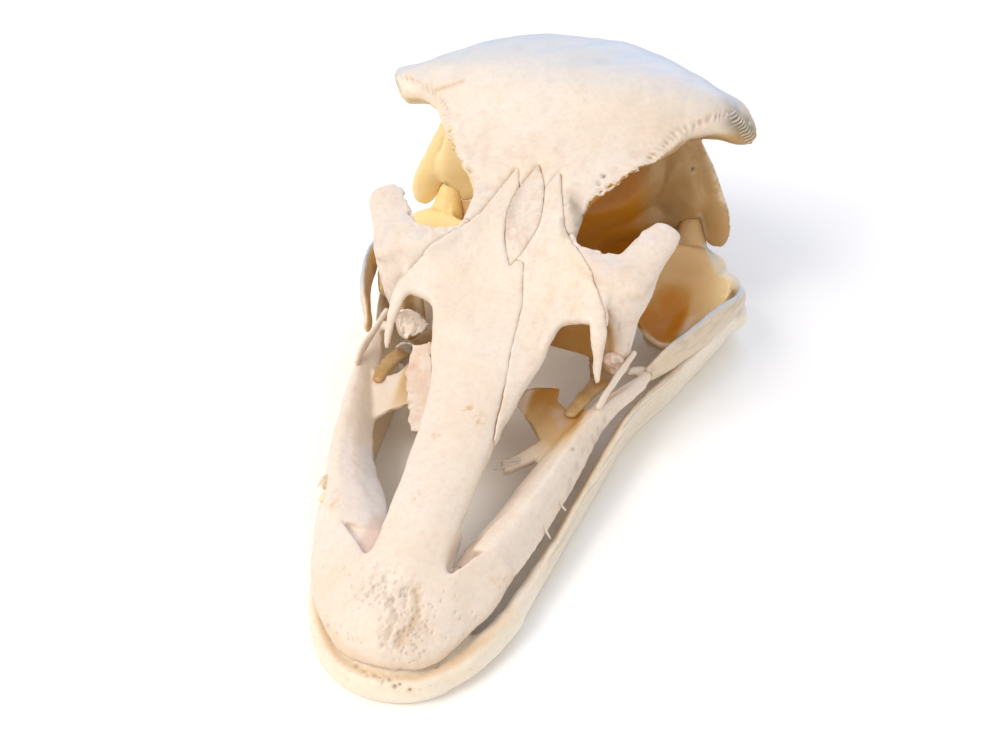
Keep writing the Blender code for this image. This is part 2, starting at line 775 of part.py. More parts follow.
def maxilla(side):
    rows = [
        (BILL_SEAM + SUTURE / 2, 22.8, 9.8, 2.8, 17.8, 15.2, 2.6, 9.8, 13.6, 1.4),
        (46, 24.8, 9.8, 2.6, 21.2, 15.6, 2.8, 11.4, 12.0, 1.2),
        (57, 27.2, 10.2, 2.4, 24.4, 16.4, 2.6, 16.6, 11.2, 1.0),
        (70, 29.8, 10.8, 2.2, 27.2, 16.4, 2.4, 21.2, 11.4, 1.0),
        (84, 31.6, 12.4, 2.0, 30.4, 16.4, 2.2, 25.8, 13.0, 1.0),
        (92, 34.0, 13.8, 1.8, 33.2, 16.4, 2.0, 29.6, 14.6, 1.0),
        (98.5, 35.6, 14.6, 1.6, 35.0, 16.6, 1.8, 33.2, 15.8, 1.0),
    ]
    blade = ribbon(rows, side, steps=2)
    hook = bar(
        [
            (34.8, 97.5, 15.8, 1.3, 1.2),
            (35.2, 100.4, 16.4, 1.6, 1.4),
            (33.6, 101.6, 17.2, 1.4, 1.1),
            (31.6, 99.8, 17.6, 1.0, 0.8),
        ],
        (0, 0, 1),
        side,
        around=8,
        steps=2,
    )

    def level(x, y):
        return 17 - 0.2 * (abs(x) - 8) + 0.3 * (y - 80)

    shelf = [
        (7.1, 81.4),
        (8.4, 86.1),
        (15.2, 88.2),
        (19.5, 89.2),
        (20, 86),
        (23, 84.5),
        (26.5, 86),
        (30, 87),
        (28.5, 76),
        (22, 73.2),
        (19, 75.5),
        (15.2, 78),
        (9.2, 80.2),
    ]
    finger = [
        (23, 73.6),
        (20.7, 71),
        (15.6, 66.9),
        (9.9, 64.3),
        (8, 66.4),
        (12, 69.2),
        (18.7, 73.6),
        (21, 75.9),
    ]
    tongue = bar(
        [
            (9.9, NOSTRIL_FRONT + 2, 14.6, 0.8, 0.5),
            (11.1, NOSTRIL_FRONT + 5, 14.2, 1.9, 0.6),
            (12.9, NOSTRIL_FRONT + 9, 13.9, 3.4, 0.7),
            (14.4, NOSTRIL_FRONT + 14, 13.2, 3.6, 0.7),
        ],
        (1, 0, 0),
        side,
        around=8,
        steps=2,
    )
    plates = [tongue, sheet([(side * x, y) for x, y in shelf], level, 1.0)]
    if side == LEFT:  # the right one has broken off
        plates.append(sheet(finger, level, 1.4))
    warp(node("maxilla_" + SIDES[side], fuse([blade, hook] + plates), BONE))


def jugal(side):
    """The two slips that lie along the inside of the cheek, from the maxilla to the lacrimal's foot."""
    splint = bar(
        [
            (31.0 - side * 4.5, 85, 18.3, 0.9, 0.6),
            (31.4 - side * 3.4, 91, 20.2, 1.0, 0.6),
            (32.0 - side * 0.6, 99.6, 24, 0.7, 0.5),
        ],
        (0, 0, 1),
        side,
        around=8,
        steps=2,
    )
    node("jugal_splint_" + SIDES[side], splint, BONE)
    lean = -side * CHEEK_LEAN
    strap = bar(
        [
            (36.7 + lean * 1.6, 100.4, 16.8, 1.8, 0.8),
            (37.7 + lean * 1.3, 102.6, 17.0, 2.9, 0.9),
            (41.2 + lean, 108.5, 18.3, 4.4, 1.0),
            (45.2 + lean * 0.7, 117, 18.3, 4.7, 1.0),
            (48.6 + lean * 0.3, 127, 17.4, 4.1, 1.1),
            (50.2, 134.5, 16.6, 2.8, 1.3),
            (50.0, 138.2, 16.0, 2.6, 1.4),
        ],
        (0, 0, 1),
        side,
        around=10,
        steps=3,
    )
    node("quadratojugal_" + SIDES[side], strap, BONE)


def quadrate_bowl(side):
    """The scoop in front of the jaw joint, hung between the neck of the quadrate and the cheek strap."""
    lean = side * CHEEK_LEAN
    return ribbon(
        [
            (115.2, 40.4 - lean, 17.0, 1.0, 38.4 - lean, 14.6, 1.0, 34.4, 14.0, 1.0),
            (118, 42.2 - lean * 0.8, 17.0, 1.0, 36.2, 12.9, 1.0, 29.6, 14.2, 1.0),
            (122, 44.0 - lean * 0.6, 17.0, 1.1, 34.6, 12.0, 1.1, 26.2, 16.0, 1.1),
            (128, 46.2 - lean * 0.4, 17.0, 1.2, 34.4, 12.3, 1.2, 25.4, 20.0, 1.2),
            (135, 47.6, 16.8, 1.4, 36.0, 15.0, 1.4, 26.6, 22.4, 1.2),
            (141, 46.6, 17.0, 2.0, 37.2, 17.4, 1.6, 29.8, 22.4, 1.4),
            (146.5, 40.2, 17.6, 2.0, 36.0, 20.0, 2.0, 31.4, 23.6, 1.6),
        ],
        side,
        steps=3,
    )


def quadrate(side):
    span = JAW_SPAN / 2
    knuckle = [(span - 4, 142.6, 15.2, 3.0, 2.8), (span - 12, 146.4, 16.2, 3.4, 3.2)]
    neck = [
        (38.6, 144, 16.0, 7.8, 3.2),
        (34.6, 147.0, 20.5, 5.4, 2.8),
        (34.2, 150.6, 26, 3.4, 2.5),
        (33.6, 154.4, 30, 3.0, 2.5),
    ]
    blade = [
        (38, 144, 19, 5.0, 2.2),
        (32, 140.5, 21, 5.4, 1.4),
        (26, 136, 23.6, 4.4, 1.0),
        (20.5, 131.5, 27, 2.2, 0.8),
    ]
    pieces = [
        ball((side * (span - 4.4), 142.5, 14.6), (3.9, 3.9, 3.5), around=14),
        ball((side * (span - 12.5), 146.5, 15.6), (4.4, 3.8, 4.2), around=14),
        bar(knuckle, (0, 1, 0), side, around=10),
        bar(neck, (1, 0, 0), side),
        bar(blade, (0.1, 0.4, 1), side),
        quadrate_bowl(side),
    ]
    form = soften(fuse(pieces), QUADRATE_TRIANGLES, voxel=0.45, rounds=2)
    node("quadrate_" + SIDES[side], form, AMBER)


def pterygoid(side):
    form = bar(
        [
            (34.4, 141.4, 15.8, 1.8, 1.6),
            (28, 137, 16.8, 2.2, 1.6),
            (20, 132, 17.6, 2.8, 1.3),
            (12.5, 127.5, 18.0, 3.6, 1.2),
            (8, 121, 17.8, 3.0, 1.0),
        ],
        (1, 1, 0),
        side,
        around=10,
        steps=2,
    )
    node("pterygoid_" + SIDES[side], form, AMBER)


def palatine(side):
    form = bar(
        [
            (24.6, 83, 16.0, 1.4, 0.7),
            (25.4, 89.5, 16.2, 2.0, 0.7),
            (25.2, 96.5, 14.8, 2.4, 0.7),
            (23.0, 103, 14.8, 2.8, 0.8),
            (18.0, 112, 16.8, 2.8, 0.8),
            (14.4, 118.8, 17.6, 2.4, 0.8),
            (13.4, 121.5, 17.8, 1.8, 0.8),
        ],
        (1, 0, 0),
        side,
        around=8,
        steps=2,
    )
    warp(node("palatine_" + SIDES[side], form, AMBER))


def vomer():
    form = roof(
        [
            (69, 1.0, 15.6, 16.4, 1, 0.8, 2),
            (76, 2.6, 16.2, 17.8, 1.2, 0.8, 2),
            (86, 3.8, 17.6, 19.6, 1.2, 0.8, 2),
            (98, 4.4, 18.6, 20.7, 1.2, 0.8, 2),
            (110, 4.2, 19.0, 21.1, 1.2, 0.8, 2),
            (118, 3.4, 19.5, 21.3, 1.4, 1.0, 2),
        ],
        around=12,
        steps=2,
    )
    node("vomer", form, PALE)


# Lower jaw


def lower_tip():
    rim = bar(
        [
            (-22.4, 31, 3.8, 3.6, 2.3),
            (-19.5, 23, 3.5, 3.4, 2.6),
            (-15.4, 15.8, 3.0, 3.2, 2.7),
            (-9.0, 9.4, 2.7, 3.2, 2.6),
            (0, LOWER_TIP + 2.6, 2.6, 3.2, 2.4),
            (9.0, 9.4, 2.7, 3.2, 2.6),
            (15.4, 15.8, 3.0, 3.2, 2.7),
            (19.5, 23, 3.5, 3.4, 2.6),
            (22.4, 31, 3.8, 3.6, 2.3),
        ],
        (0, 0, 1),
        around=14,
    )
    # The floor swells up to the underside of the upper bill
    floor = roof(
        [
            (7, 4, 4.6, 5.2, 3, 3, 2),
            (9.4, 7.5, 5.0, 6.6, 4, 3, 2),
            (12, 10.4, 5.2, 7.4, 4.6, 3, 2.2),
            (16, 13.4, 5.4, 8.2, 5.4, 3, 2.2),
            (20, 16.0, 5.6, 8.6, 5.6, 3, 2.2),
            (23, 17.4, 5.8, 8.0, 4.6, 3, 2.2),
        ],
        around=14,
    )
    return [rim, floor]


def ramus(side, around=14):
    """The jaw's branch, its lower edge set in, through rows
    (y, outer x, bottom, top, thickness, how far the lower edge is set in)."""
    rows = [
        (31.4, 24.6, 0.4, 7.3, 4.2, 0.6),
        (42, 26.4, 0.4, 7.7, 3.8, 1.2),
        (54, 28.4, 0.4, 8.4, 3.4, 1.8),
        (69, 30.8, 0.3, 9.8, 3.2, 2.2),
        (88, 33.6, -0.2, 11.4, 3.2, 2.6),
        (97, 36.2, -0.4, 12.6, 3.2, 3.0),
        (106, 40.6, -0.5, 13.3, 3.2, 3.4),
        (118, 45.0, -0.5, 13.0, 3.2, 3.6),
        (131, 48.8, -0.5, 11.8, 3.6, 3.0),
        (139, 50.0, -0.4, 10.6, 4.4, 2.4),
        (149, 48.8, 0.2, 8.8, 4.6, 1.8),
        (156, 46.0, 1.4, 6.0, 3.4, 1.2),
        (158.5, 44.8, 2.6, 4.8, 1.6, 0.6),
    ]
    angle = np.arange(around) * 2 * math.pi / around
    high_share = np.sign(np.sin(angle)) * np.abs(np.sin(angle)) ** 0.8
    rings = []
    for y, outer, low, high, thick, lean in smooth_rows(rows, 3):
        z = (low + high) / 2 + (high - low) / 2 * high_share
        x = outer - thick / 2 - lean * (1 - high_share) / 2 + thick / 2 * np.cos(angle)
        rings.append(np.stack([side * x, np.full_like(x, y), z], -1))
    return loft("ramus", rings)


def articular(side):
    """Cup for the quadrate behind the jaw's branch, with its inner process and the shelf in front of it."""
    span = JAW_SPAN / 2
    cup = [(span - 3, 141, 7.4, 4.6, 5), (span - 9, 145, 7.4, 5, 5), (span - 17, 148.5, 8, 3.4, 3)]
    shelf = [
        (38, 119, 9.0, 3, 1),
        (35.4, 126, 7.4, 8, 1.2),
        (35.2, 134, 6.6, 9.6, 1.4),
        (36.6, 141, 6.6, 9, 1.8),
        (39, 147, 7, 6.5, 2.2),
    ]
    return [bar(cup, (0, 1, 0), side), bar(shelf, (1, 0, 0), side)]


def lower_jaw():
    pieces = lower_tip()
    for side in SIDES:
        pieces += [ramus(side)] + articular(side)
    jaw = soften(fuse(pieces), JAW_TRIANGLES)
    cutters = [block((-FAR, -FAR, -FAR), (FAR, FAR, 0))]
    for side in SIDES:
        cutters.append(wall([(side * 16, 33.5), (side * 22, 32), (side * 30, 30.5)], -2, 20))
        cutters.append(wall([(side * 22, 133.5), (side * 60, 134.5)], -2, 20))
    cut(jaw, cutters)
    seeds = {"dentary_tip": ((0, 6, 4), HORNY)}
    for side, letter in SIDES.items():
        seeds["ramus_" + letter] = ((side * 30, 65, 8), HORNY)
        seeds["articular_" + letter] = ((side * 47, 152, 8), HORNY)
    part_at_seams(jaw, seeds)


def main():
    build_head()
    for side in SIDES:
        maxilla(side)
        jugal(side)
        quadrate(side)
        pterygoid(side)
        palatine(side)
    vomer()
    lower_jaw()
    for letter in SIDES.values():
        make_room("cranium", "quadrate_" + letter, "pterygoid_" + letter)
        make_room("quadrate_" + letter, "pterygoid_" + letter)
        make_room("articular_" + letter, "quadrate_" + letter)
        make_room("maxilla_" + letter, "lacrimal_" + letter)
        make_room("quadratojugal_" + letter, "quadrate_" + letter, "maxilla_" + letter)
        make_room("palatine_" + letter, "pterygoid_" + letter, "maxilla_" + letter)
        make_room("jugal_splint_" + letter, "maxilla_" + letter, "lacrimal_" + letter)
    make_room("vomer", "cranium")
    for item in list(FORMS.objects):
        bpy.data.objects.remove(item)


clear_scene()
SKULL = new_collection("ostrich_skull")
FORMS = new_collection("forms")
FORMS.hide_render = True
main()
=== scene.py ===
"""A life-size ostrich skull, cleaned and dried, resting on its lower jaw."""

import itertools
import math

import bmesh
import bpy
import numpy as np
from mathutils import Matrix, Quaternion, Vector


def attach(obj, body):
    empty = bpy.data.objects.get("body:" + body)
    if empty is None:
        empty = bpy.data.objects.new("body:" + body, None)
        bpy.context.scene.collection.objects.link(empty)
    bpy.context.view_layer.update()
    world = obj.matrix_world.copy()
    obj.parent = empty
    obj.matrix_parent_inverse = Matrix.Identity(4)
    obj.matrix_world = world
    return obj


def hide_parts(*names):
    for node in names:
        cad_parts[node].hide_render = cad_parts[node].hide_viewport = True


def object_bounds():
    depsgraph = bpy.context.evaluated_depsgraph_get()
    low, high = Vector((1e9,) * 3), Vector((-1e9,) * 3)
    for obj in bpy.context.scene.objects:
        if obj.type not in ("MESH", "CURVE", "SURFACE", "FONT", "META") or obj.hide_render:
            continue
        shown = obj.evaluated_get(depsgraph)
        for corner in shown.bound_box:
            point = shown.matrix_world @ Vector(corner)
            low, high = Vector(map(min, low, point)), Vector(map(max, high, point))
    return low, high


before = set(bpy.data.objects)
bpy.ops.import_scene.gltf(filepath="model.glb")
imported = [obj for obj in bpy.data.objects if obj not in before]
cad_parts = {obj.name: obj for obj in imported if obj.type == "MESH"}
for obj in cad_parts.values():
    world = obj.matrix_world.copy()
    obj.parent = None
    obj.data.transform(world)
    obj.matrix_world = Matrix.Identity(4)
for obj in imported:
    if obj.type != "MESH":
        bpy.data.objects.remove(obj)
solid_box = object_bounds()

# Camera
# The skull is seen from close to, from its left front and well above, a little tipped in the picture.

PICTURE_WIDTH = 1007  # pixels
FOCAL_LENGTH = 1301  # pixels
SENSOR = 36.0  # mm
VIEW_FROM = (math.radians(21.0), math.radians(41.2))  # round from the front, and up from the floor
HEAD_TIP = math.radians(-4.0)
AIM = Vector((-0.0006, -0.0030, 0.0126))
DISTANCE = 0.324


def direction(turn, rise):
    """Unit vector towards a place that is turned round from the front, and raised above the floor."""
    return Vector((math.sin(turn) * math.cos(rise), -math.cos(turn) * math.cos(rise), math.sin(rise)))


camera = bpy.data.objects.new("camera", bpy.data.cameras.new("camera"))
bpy.context.scene.collection.objects.link(camera)
camera.data.lens = FOCAL_LENGTH / PICTURE_WIDTH * SENSOR
camera.data.sensor_width = SENSOR
camera.data.clip_start = 0.01
camera.location = AIM + direction(*VIEW_FROM) * DISTANCE
camera.rotation_mode = "QUATERNION"
camera.rotation_quaternion = (
    (-direction(*VIEW_FROM)).to_track_quat("-Z", "Y") @ Quaternion((0, 0, 1), HEAD_TIP)
)
bpy.context.scene.camera = camera
bpy.context.scene.view_settings.view_transform = "Standard"

# Studio
# A white painted board under soft daylight: a warm window on the skull's right, a weaker glow from its left
# front, and a blue sky behind that tints the top of the braincase.

FLOOR_WIDTH = 6.0
FLOOR_PAINT = ("ffffff", "fcfbf9")  # the board and its clouds
ROOM = "fffdfa"
ROOM_GLOW = 0.68
LAMPS = {  # turned round from the front and raised, degrees; distance and width, metres; watts; colour
    "window": (-50, 52, 0.9, 0.5, 4.3, "fff6ec"),
    "front_fill": (30, 24, 1.1, 0.9, 1.3, "fff8f0"),
    "sky_behind": (172, 40, 0.9, 0.5, 2.3, "b2ceff"),
}
MIX_SHARE, MIX_FIRST, MIX_SECOND, MIX_RESULT = 0, 6, 7, 2  # a colour mix node's sockets


def linear(hex_colour):
    """An sRGB hex colour as the linear red, green, blue and alpha that the shaders take."""
    parts = [int(hex_colour[i : i + 2], 16) / 255 for i in (0, 2, 4)]
    return tuple(p / 12.92 if p <= 0.04045 else ((p + 0.055) / 1.055) ** 2.4 for p in parts) + (1.0,)


def add_node(tree, kind, sockets=(), links=(), **settings):
    """Adds a shader node, sets its properties and sockets, and links outputs to its inputs."""
    made = tree.nodes.new("ShaderNode" + kind)
    for key, value in settings.items():
        setattr(made, key, value)
    for key, value in dict(sockets).items():
        made.inputs[key].default_value = value
    for key, output in dict(links).items():
        tree.links.new(output, made.inputs[key])
    return made


def blend(tree, share, first, second):
    """A mix of two colours by the share of the second; each is a hex colour or another node's output."""
    mix = add_node(tree, "Mix", {}, {MIX_SHARE: share}, data_type="RGBA")
    for socket, colour in ((MIX_FIRST, first), (MIX_SECOND, second)):
        if isinstance(colour, str):
            mix.inputs[socket].default_value = linear(colour)
        else:
            tree.links.new(colour, mix.inputs[socket])
    return mix.outputs[MIX_RESULT]


def new_material(name):
    """An empty node material, with its tree and its output node."""
    made = bpy.data.materials.new(name)
    made.use_nodes = True
    made.node_tree.nodes.clear()
    return made, made.node_tree, add_node(made.node_tree, "OutputMaterial")


def matt_board():
    """Matt emulsion on board: nearly white, with a faint cloudiness from the roller."""
    made, tree, output = new_material("matt_painted_board")
    place = add_node(tree, "TexCoord")
    cloud = add_node(tree, "TexNoise", {"Scale": 3.0, "Detail": 3.0}, {"Vector": place.outputs["Object"]})
    tint = blend(tree, cloud.outputs["Fac"], *FLOOR_PAINT)
    shader = add_node(tree, "BsdfPrincipled", {"Roughness": 0.85}, {"Base Color": tint})
    tree.links.new(shader.outputs[0], output.inputs["Surface"])
    return made


def soft_light(name, turn, rise, distance, size, power, colour):
    """A square lamp that faces the skull."""
    lamp = bpy.data.lights.new(name, "AREA")
    lamp.size = size
    lamp.energy = power
    lamp.color = linear(colour)[:3]
    made = bpy.data.objects.new(name, lamp)
    towards = direction(math.radians(turn), math.radians(rise))
    made.location = AIM + towards * distance
    made.rotation_mode = "QUATERNION"
    made.rotation_quaternion = (-towards).to_track_quat("-Z", "Y")
    bpy.context.scene.collection.objects.link(made)


floor_mesh = bpy.data.meshes.new("floor")
half = FLOOR_WIDTH / 2
corners = [(-half, -half, 0), (half, -half, 0), (half, half, 0), (-half, half, 0)]
floor_mesh.from_pydata(corners, [], [(0, 1, 2, 3)])
floor_mesh.materials.append(matt_board())
floor = bpy.data.objects.new("floor", floor_mesh)
bpy.context.scene.collection.objects.link(floor)

for name, values in LAMPS.items():
    soft_light(name, *values)
world = bpy.data.worlds.new("studio")
bpy.context.scene.world = world
world.use_nodes = True
background = world.node_tree.nodes["Background"]
background.inputs["Color"].default_value = linear(ROOM)
background.inputs["Strength"].default_value = ROOM_GLOW

# Braincase and forehead
# One bone in an adult bird: a thin-walled dome of dense ivory bone, fused under the forehead to the roof of
# the eye sockets. Its edge over each socket and its wing ends are comb-like, where the brow skin was held.

# From here on lengths are millimetres: x to the skull's left, y back from the bill tip, z up from the floor
MM = 0.001
TIP_TO_JAW = 4.8  # the lower jaw starts this far behind the plane that stations are counted from
TIP_Y = solid_box[0].y / MM - TIP_TO_JAW
LEFT, RIGHT = 1, -1
SIDES = {LEFT: "l", RIGHT: "r"}
SHARP = math.radians(50)  # edges of the solids that turn by more than this are kept
CREASE = 0.8  # how firmly they are kept
LATTICE = 32  # values of noise each way before it repeats
WANDER_SPACING = 7.0  # of the slow unevenness of dried bone
WANDER_REACH = 0.25
WANDER_START = 6.0  # it is nothing at the floor and whole from this height up
TINTS = {  # what the points of a mesh carry, and the colour that each share brings
    "cool": "becbdc",  # painted reflection of the blue sky on burnished bone
    "rose": "d6b5a2",  # pink-grey of thin spongy bone
    "honey": "ffe3a0",  # fat that has yellowed in the bone, and painted light shining through thin bone on the lit right side
    "flame": "f0a136",  # orange of thin bone with fat behind it, and painted light through the lit right socket's bone and membrane
    "cream": "f6ecdc",  # pale rims of dried membrane
    "dust": "7a6d55",  # grey-brown of dirt between fibres, and painted shade in hollows, slits and on faces turned from the light
    "stain": "cf9c4c",  # ochre flecks of dried tissue, and painted shade along the seam where the bill meets the lower jaw
    "pore": "5a3c1e",  # painted shade in the dark inside of a small hole
}
AMBER_TONES = ((0.0, "ead9bb"), (0.35, "d6b483"), (0.65, "c28e42"), (1.0, "bf7a08"))  # fat and membrane, and painted shade in the sockets, in hollows and on faces turned from the light
AMBER_DEPTH = 0.93  # how far along the tones a full share reaches
AMBER_COVER = 0.3  # the share from which amber hides the ivory
CLOUDS = (  # name, grain in mm, detail, and the range of the noise that runs from 0 to the top value
    ("broad", 18.0, 2.0, 0.3, 0.7, 1.0),
    ("mottle", 1.3, 5.0, 0.46, 0.78, 0.36),
    ("depth", 7.0, 2.0, 0.3, 0.7, 0.18),
    ("grain", 0.5, 3.0, 0.0, 1.0, 1.0),
    ("lump", 2.2, 5.0, 0.0, 1.0, 1.0),
)
RELIEF = {"grain": (0.3, 0.10), "lump": (0.35, 0.35)}  # strength and height of the finest relief
POLISH = {"To Min": 0.08, "To Max": -0.06}  # what the lumps add to the roughness, from low to high
BLOOM_COLOURS = (1.0, 0.6, 0.35)  # how far red, green and blue travel under the face
BLOOM_DEPTH = 1.2
REFRACTION = 1.5


def bone(name, light, warm, mottle, roughness, bloom):
    """Bone between two ivories with a fine mottle; amber for fat and painted shade, tints that include
    painted light, and the painted shade of pores come where the points say.
    """
    made, tree, output = new_material(name)
    place = add_node(tree, "TexCoord").outputs["Object"]
    cloud = {}
    for key, size, detail, low, high, top in CLOUDS:
        noise = add_node(tree, "TexNoise", {"Scale": 1 / (size * MM), "Detail": detail}, {"Vector": place})
        ends = {"From Min": low, "From Max": high, "To Max": top}
        cloud[key] = add_node(tree, "MapRange", ends, {"Value": noise.outputs["Fac"]}).outputs["Result"]
    share = {}
    for key in ("amber", *TINTS):
        share[key] = add_node(tree, "Attribute", attribute_name=key).outputs["Fac"]

    tone = blend(tree, cloud["mottle"], blend(tree, cloud["broad"], light, warm), mottle)
    links = {0: share["amber"], 1: cloud["depth"], 2: share["amber"]}
    uneven = add_node(tree, "Math", {}, links, operation="MULTIPLY_ADD")
    depth = add_node(tree, "Math", {1: AMBER_DEPTH}, {0: uneven.outputs[0]}, operation="MULTIPLY")
    ramp = add_node(tree, "ValToRGB", {}, {"Fac": depth.outputs[0]})
    stops = ramp.color_ramp.elements
    for position, colour in AMBER_TONES[1:-1]:
        stops.new(position).color = linear(colour)
    for end in (0, -1):
        stops[end].color = linear(AMBER_TONES[end][1])
    cover = add_node(tree, "MapRange", {"From Max": AMBER_COVER}, {"Value": share["amber"]})
    tone = blend(tree, cover.outputs["Result"], tone, ramp.outputs["Color"])
    for key, colour in TINTS.items():
        tone = blend(tree, share[key], tone, colour)

    relief = None
    for key, (strength, height) in RELIEF.items():
        links = {"Height": cloud[key]} if relief is None else {"Height": cloud[key], "Normal": relief}
        relief = add_node(tree, "Bump", {"Strength": strength, "Distance": height * MM}, links).outputs[0]
    rough = {key: roughness + change for key, change in POLISH.items()}
    gloss = add_node(tree, "MapRange", rough, {"Value": cloud["lump"]})
    glow = {
        "Subsurface Weight": bloom,
        "Subsurface Radius": BLOOM_COLOURS,
        "Subsurface Scale": BLOOM_DEPTH * MM,
        "IOR": REFRACTION,
    }
    links = {"Base Color": tone, "Roughness": gloss.outputs["Result"], "Normal": relief}
    shader = add_node(tree, "BsdfPrincipled", glow, links)
    tree.links.new(shader.outputs[0], output.inputs["Surface"])
    return made


def lattice_noise(points, spacing, seed):
    """Smooth noise from -1 to 1: random values on a cubic lattice, blended by a fifth-order fade."""
    table = np.random.default_rng(seed).uniform(-1, 1, (LATTICE, LATTICE, LATTICE))
    place = points / spacing
    cell = np.floor(place).astype(int)
    share = place - cell
    fade = share**3 * (share * (share * 6 - 15) + 10)
    total = np.zeros(len(points))
    for corner in itertools.product((0, 1), repeat=3):
        weight = np.prod(np.where(corner, fade, 1 - fade), axis=1)
        x, y, z = ((cell + corner) % LATTICE).T
        total += weight * table[x, y, z]
    return total


def fractal(points, spacing, seed, octaves=3):
    """Sum of lattice noises, each of half the spacing and half the height of the one before."""
    return sum(lattice_noise(points, spacing / 2**i, seed + i) / 2**i for i in range(octaves))


def fibres(points, along, spacing, seed, stretch=7.0):
    """Noise drawn out along a direction, like the grain of a bone that grew that way."""
    along = np.array(along, float) / np.linalg.norm(along)
    return fractal(points - (1 - 1 / stretch) * (points @ along)[:, None] * along, spacing, seed, 2)


def drift(points):
    """The small wander that every dried bone shares, so that the sutures waver and yet stay closed."""
    wander = [fractal(points + 50 * axis, WANDER_SPACING, 11 + axis, 2) for axis in range(3)]
    return points + WANDER_REACH * np.stack(wander, -1) * np.clip(points[:, 2:] / WANDER_START, 0, 1)


def to_metres(points):
    """Millimetres of the skull's own frame as metres of the model's frame."""
    return (points + (0, TIP_Y, 0)) * MM


def vertices(mesh):
    """The mesh's points in millimetres of the skull's own frame."""
    flat = np.empty(len(mesh.vertices) * 3, np.float32)
    mesh.vertices.foreach_get("co", flat)
    return flat.reshape(-1, 3).astype(float) / MM - (0, TIP_Y, 0)


def normals(mesh):
    """The unit normal at each of the mesh's points."""
    flat = np.empty(len(mesh.vertices) * 3, np.float32)
    mesh.vertex_normals.foreach_get("vector", flat)
    return flat.reshape(-1, 3).astype(float)


def move_vertices(mesh, points):
    """Puts the mesh's points at these places, in millimetres of the skull's own frame."""
    mesh.vertices.foreach_set("co", to_metres(points).astype(np.float32).ravel())
    mesh.update()


def raise_skin(mesh, heights):
    """Moves each point along its own normal by its height, in millimetres."""
    move_vertices(mesh, vertices(mesh) + np.asarray(heights)[:, None] * normals(mesh))


def neighbour_mean(mesh, values):
    """Mean of each point's neighbours, for values of one row a point."""
    flat = np.empty(len(mesh.edges) * 2, np.int32)
    mesh.edges.foreach_get("vertices", flat)
    a, b = flat.reshape(-1, 2).T
    count = np.maximum(np.bincount(flat, minlength=len(values)), 1)
    sums = [np.bincount(a, row[b], len(values)) + np.bincount(b, row[a], len(values)) for row in values.T]
    return np.stack(sums, -1) / count[:, None]


def even_out(mesh, rounds, push=0.5, pull=-0.52):
    """Smooths by a step towards the neighbours' mean and, so that nothing shrinks, a longer step back."""
    points = vertices(mesh)
    for step in [push, pull] * rounds:
        points += step * (neighbour_mean(mesh, points) - points)
    move_vertices(mesh, points)


def hollowness(mesh, rounds=2):
    """How far each point lies below its neighbours' mean, in millimetres, along its normal."""
    points = vertices(mesh)
    depth = np.sum((neighbour_mean(mesh, points) - points) * normals(mesh), axis=1)[:, None]
    for _ in range(rounds):
        depth = neighbour_mean(mesh, depth)
    return depth[:, 0]


def paint(mesh, **layers):
    """Stores a share from 0 to 1 for each point under each name, for the materials to read."""
    for name, values in layers.items():
        layer = mesh.attributes.get(name) or mesh.attributes.new(name, "FLOAT", "POINT")
        layer.data.foreach_set("value", np.clip(values, 0, 1).astype(np.float32))


def ease(low, high, values):
    """0 at low, 1 at high, and a smooth step between; low may be the larger."""
    share = np.clip((values - low) / (high - low), 0, 1)
    return share * share * (3 - 2 * share)


def near(points, path):
    """Distance of each point from a broken line, and how far along the line its nearest place lies."""
    path = np.array(path, float)
    best, run, passed = np.full(len(points), np.inf), np.zeros(len(points)), 0.0
    for start, end in zip(path, path[1:]):
        length = np.linalg.norm(end - start)
        along = (end - start) / length
        share = np.clip((points - start) @ along, 0, length)
        gap = np.linalg.norm(points - start - share[:, None] * along, axis=1)
        closer = gap < best
        best[closer], run[closer] = gap[closer], passed + share[closer]
        passed += length
    return best, run


def beside(points, path, width):
    """1 on a broken line, falling off with the square of the distance over the width."""
    return np.exp(-((near(points, path)[0] / width) ** 2))


def spotted(points, spots, width):
    """1 at the middle of each round spot, falling off in the same way."""
    total = np.zeros(len(points))
    for spot, reach in zip(np.atleast_2d(spots), np.broadcast_to(width, len(spots))):
        total = np.maximum(total, np.exp(-np.sum((points - spot) ** 2, axis=1) / reach**2))
    return total


def refine(mesh, wanted):
    """Halves the edges among the wanted points, so that fine relief has points to stand on."""
    shape = bmesh.new()
    shape.from_mesh(mesh)
    chosen = [e for e in shape.edges if wanted[e.verts[0].index] and wanted[e.verts[1].index]]
    bmesh.ops.subdivide_edges(shape, edges=chosen, cuts=1, use_grid_fill=True)
    shape.to_mesh(mesh)
    shape.free()
    mesh.shade_smooth()


def apply_modifiers(item):
    """Gives the object the mesh that its modifiers make, and returns that mesh."""
    bpy.context.view_layer.update()
    graph = bpy.context.evaluated_depsgraph_get()
    mesh = bpy.data.meshes.new_from_object(item.evaluated_get(graph))
    item.modifiers.clear()
    item.data = mesh
    return mesh


def settle(made, material):
    """Gives a finished piece its material and the body that it rides on."""
    made.data.materials.clear()
    made.data.materials.append(material)
    made.data.shade_smooth()
    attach(made, "root")


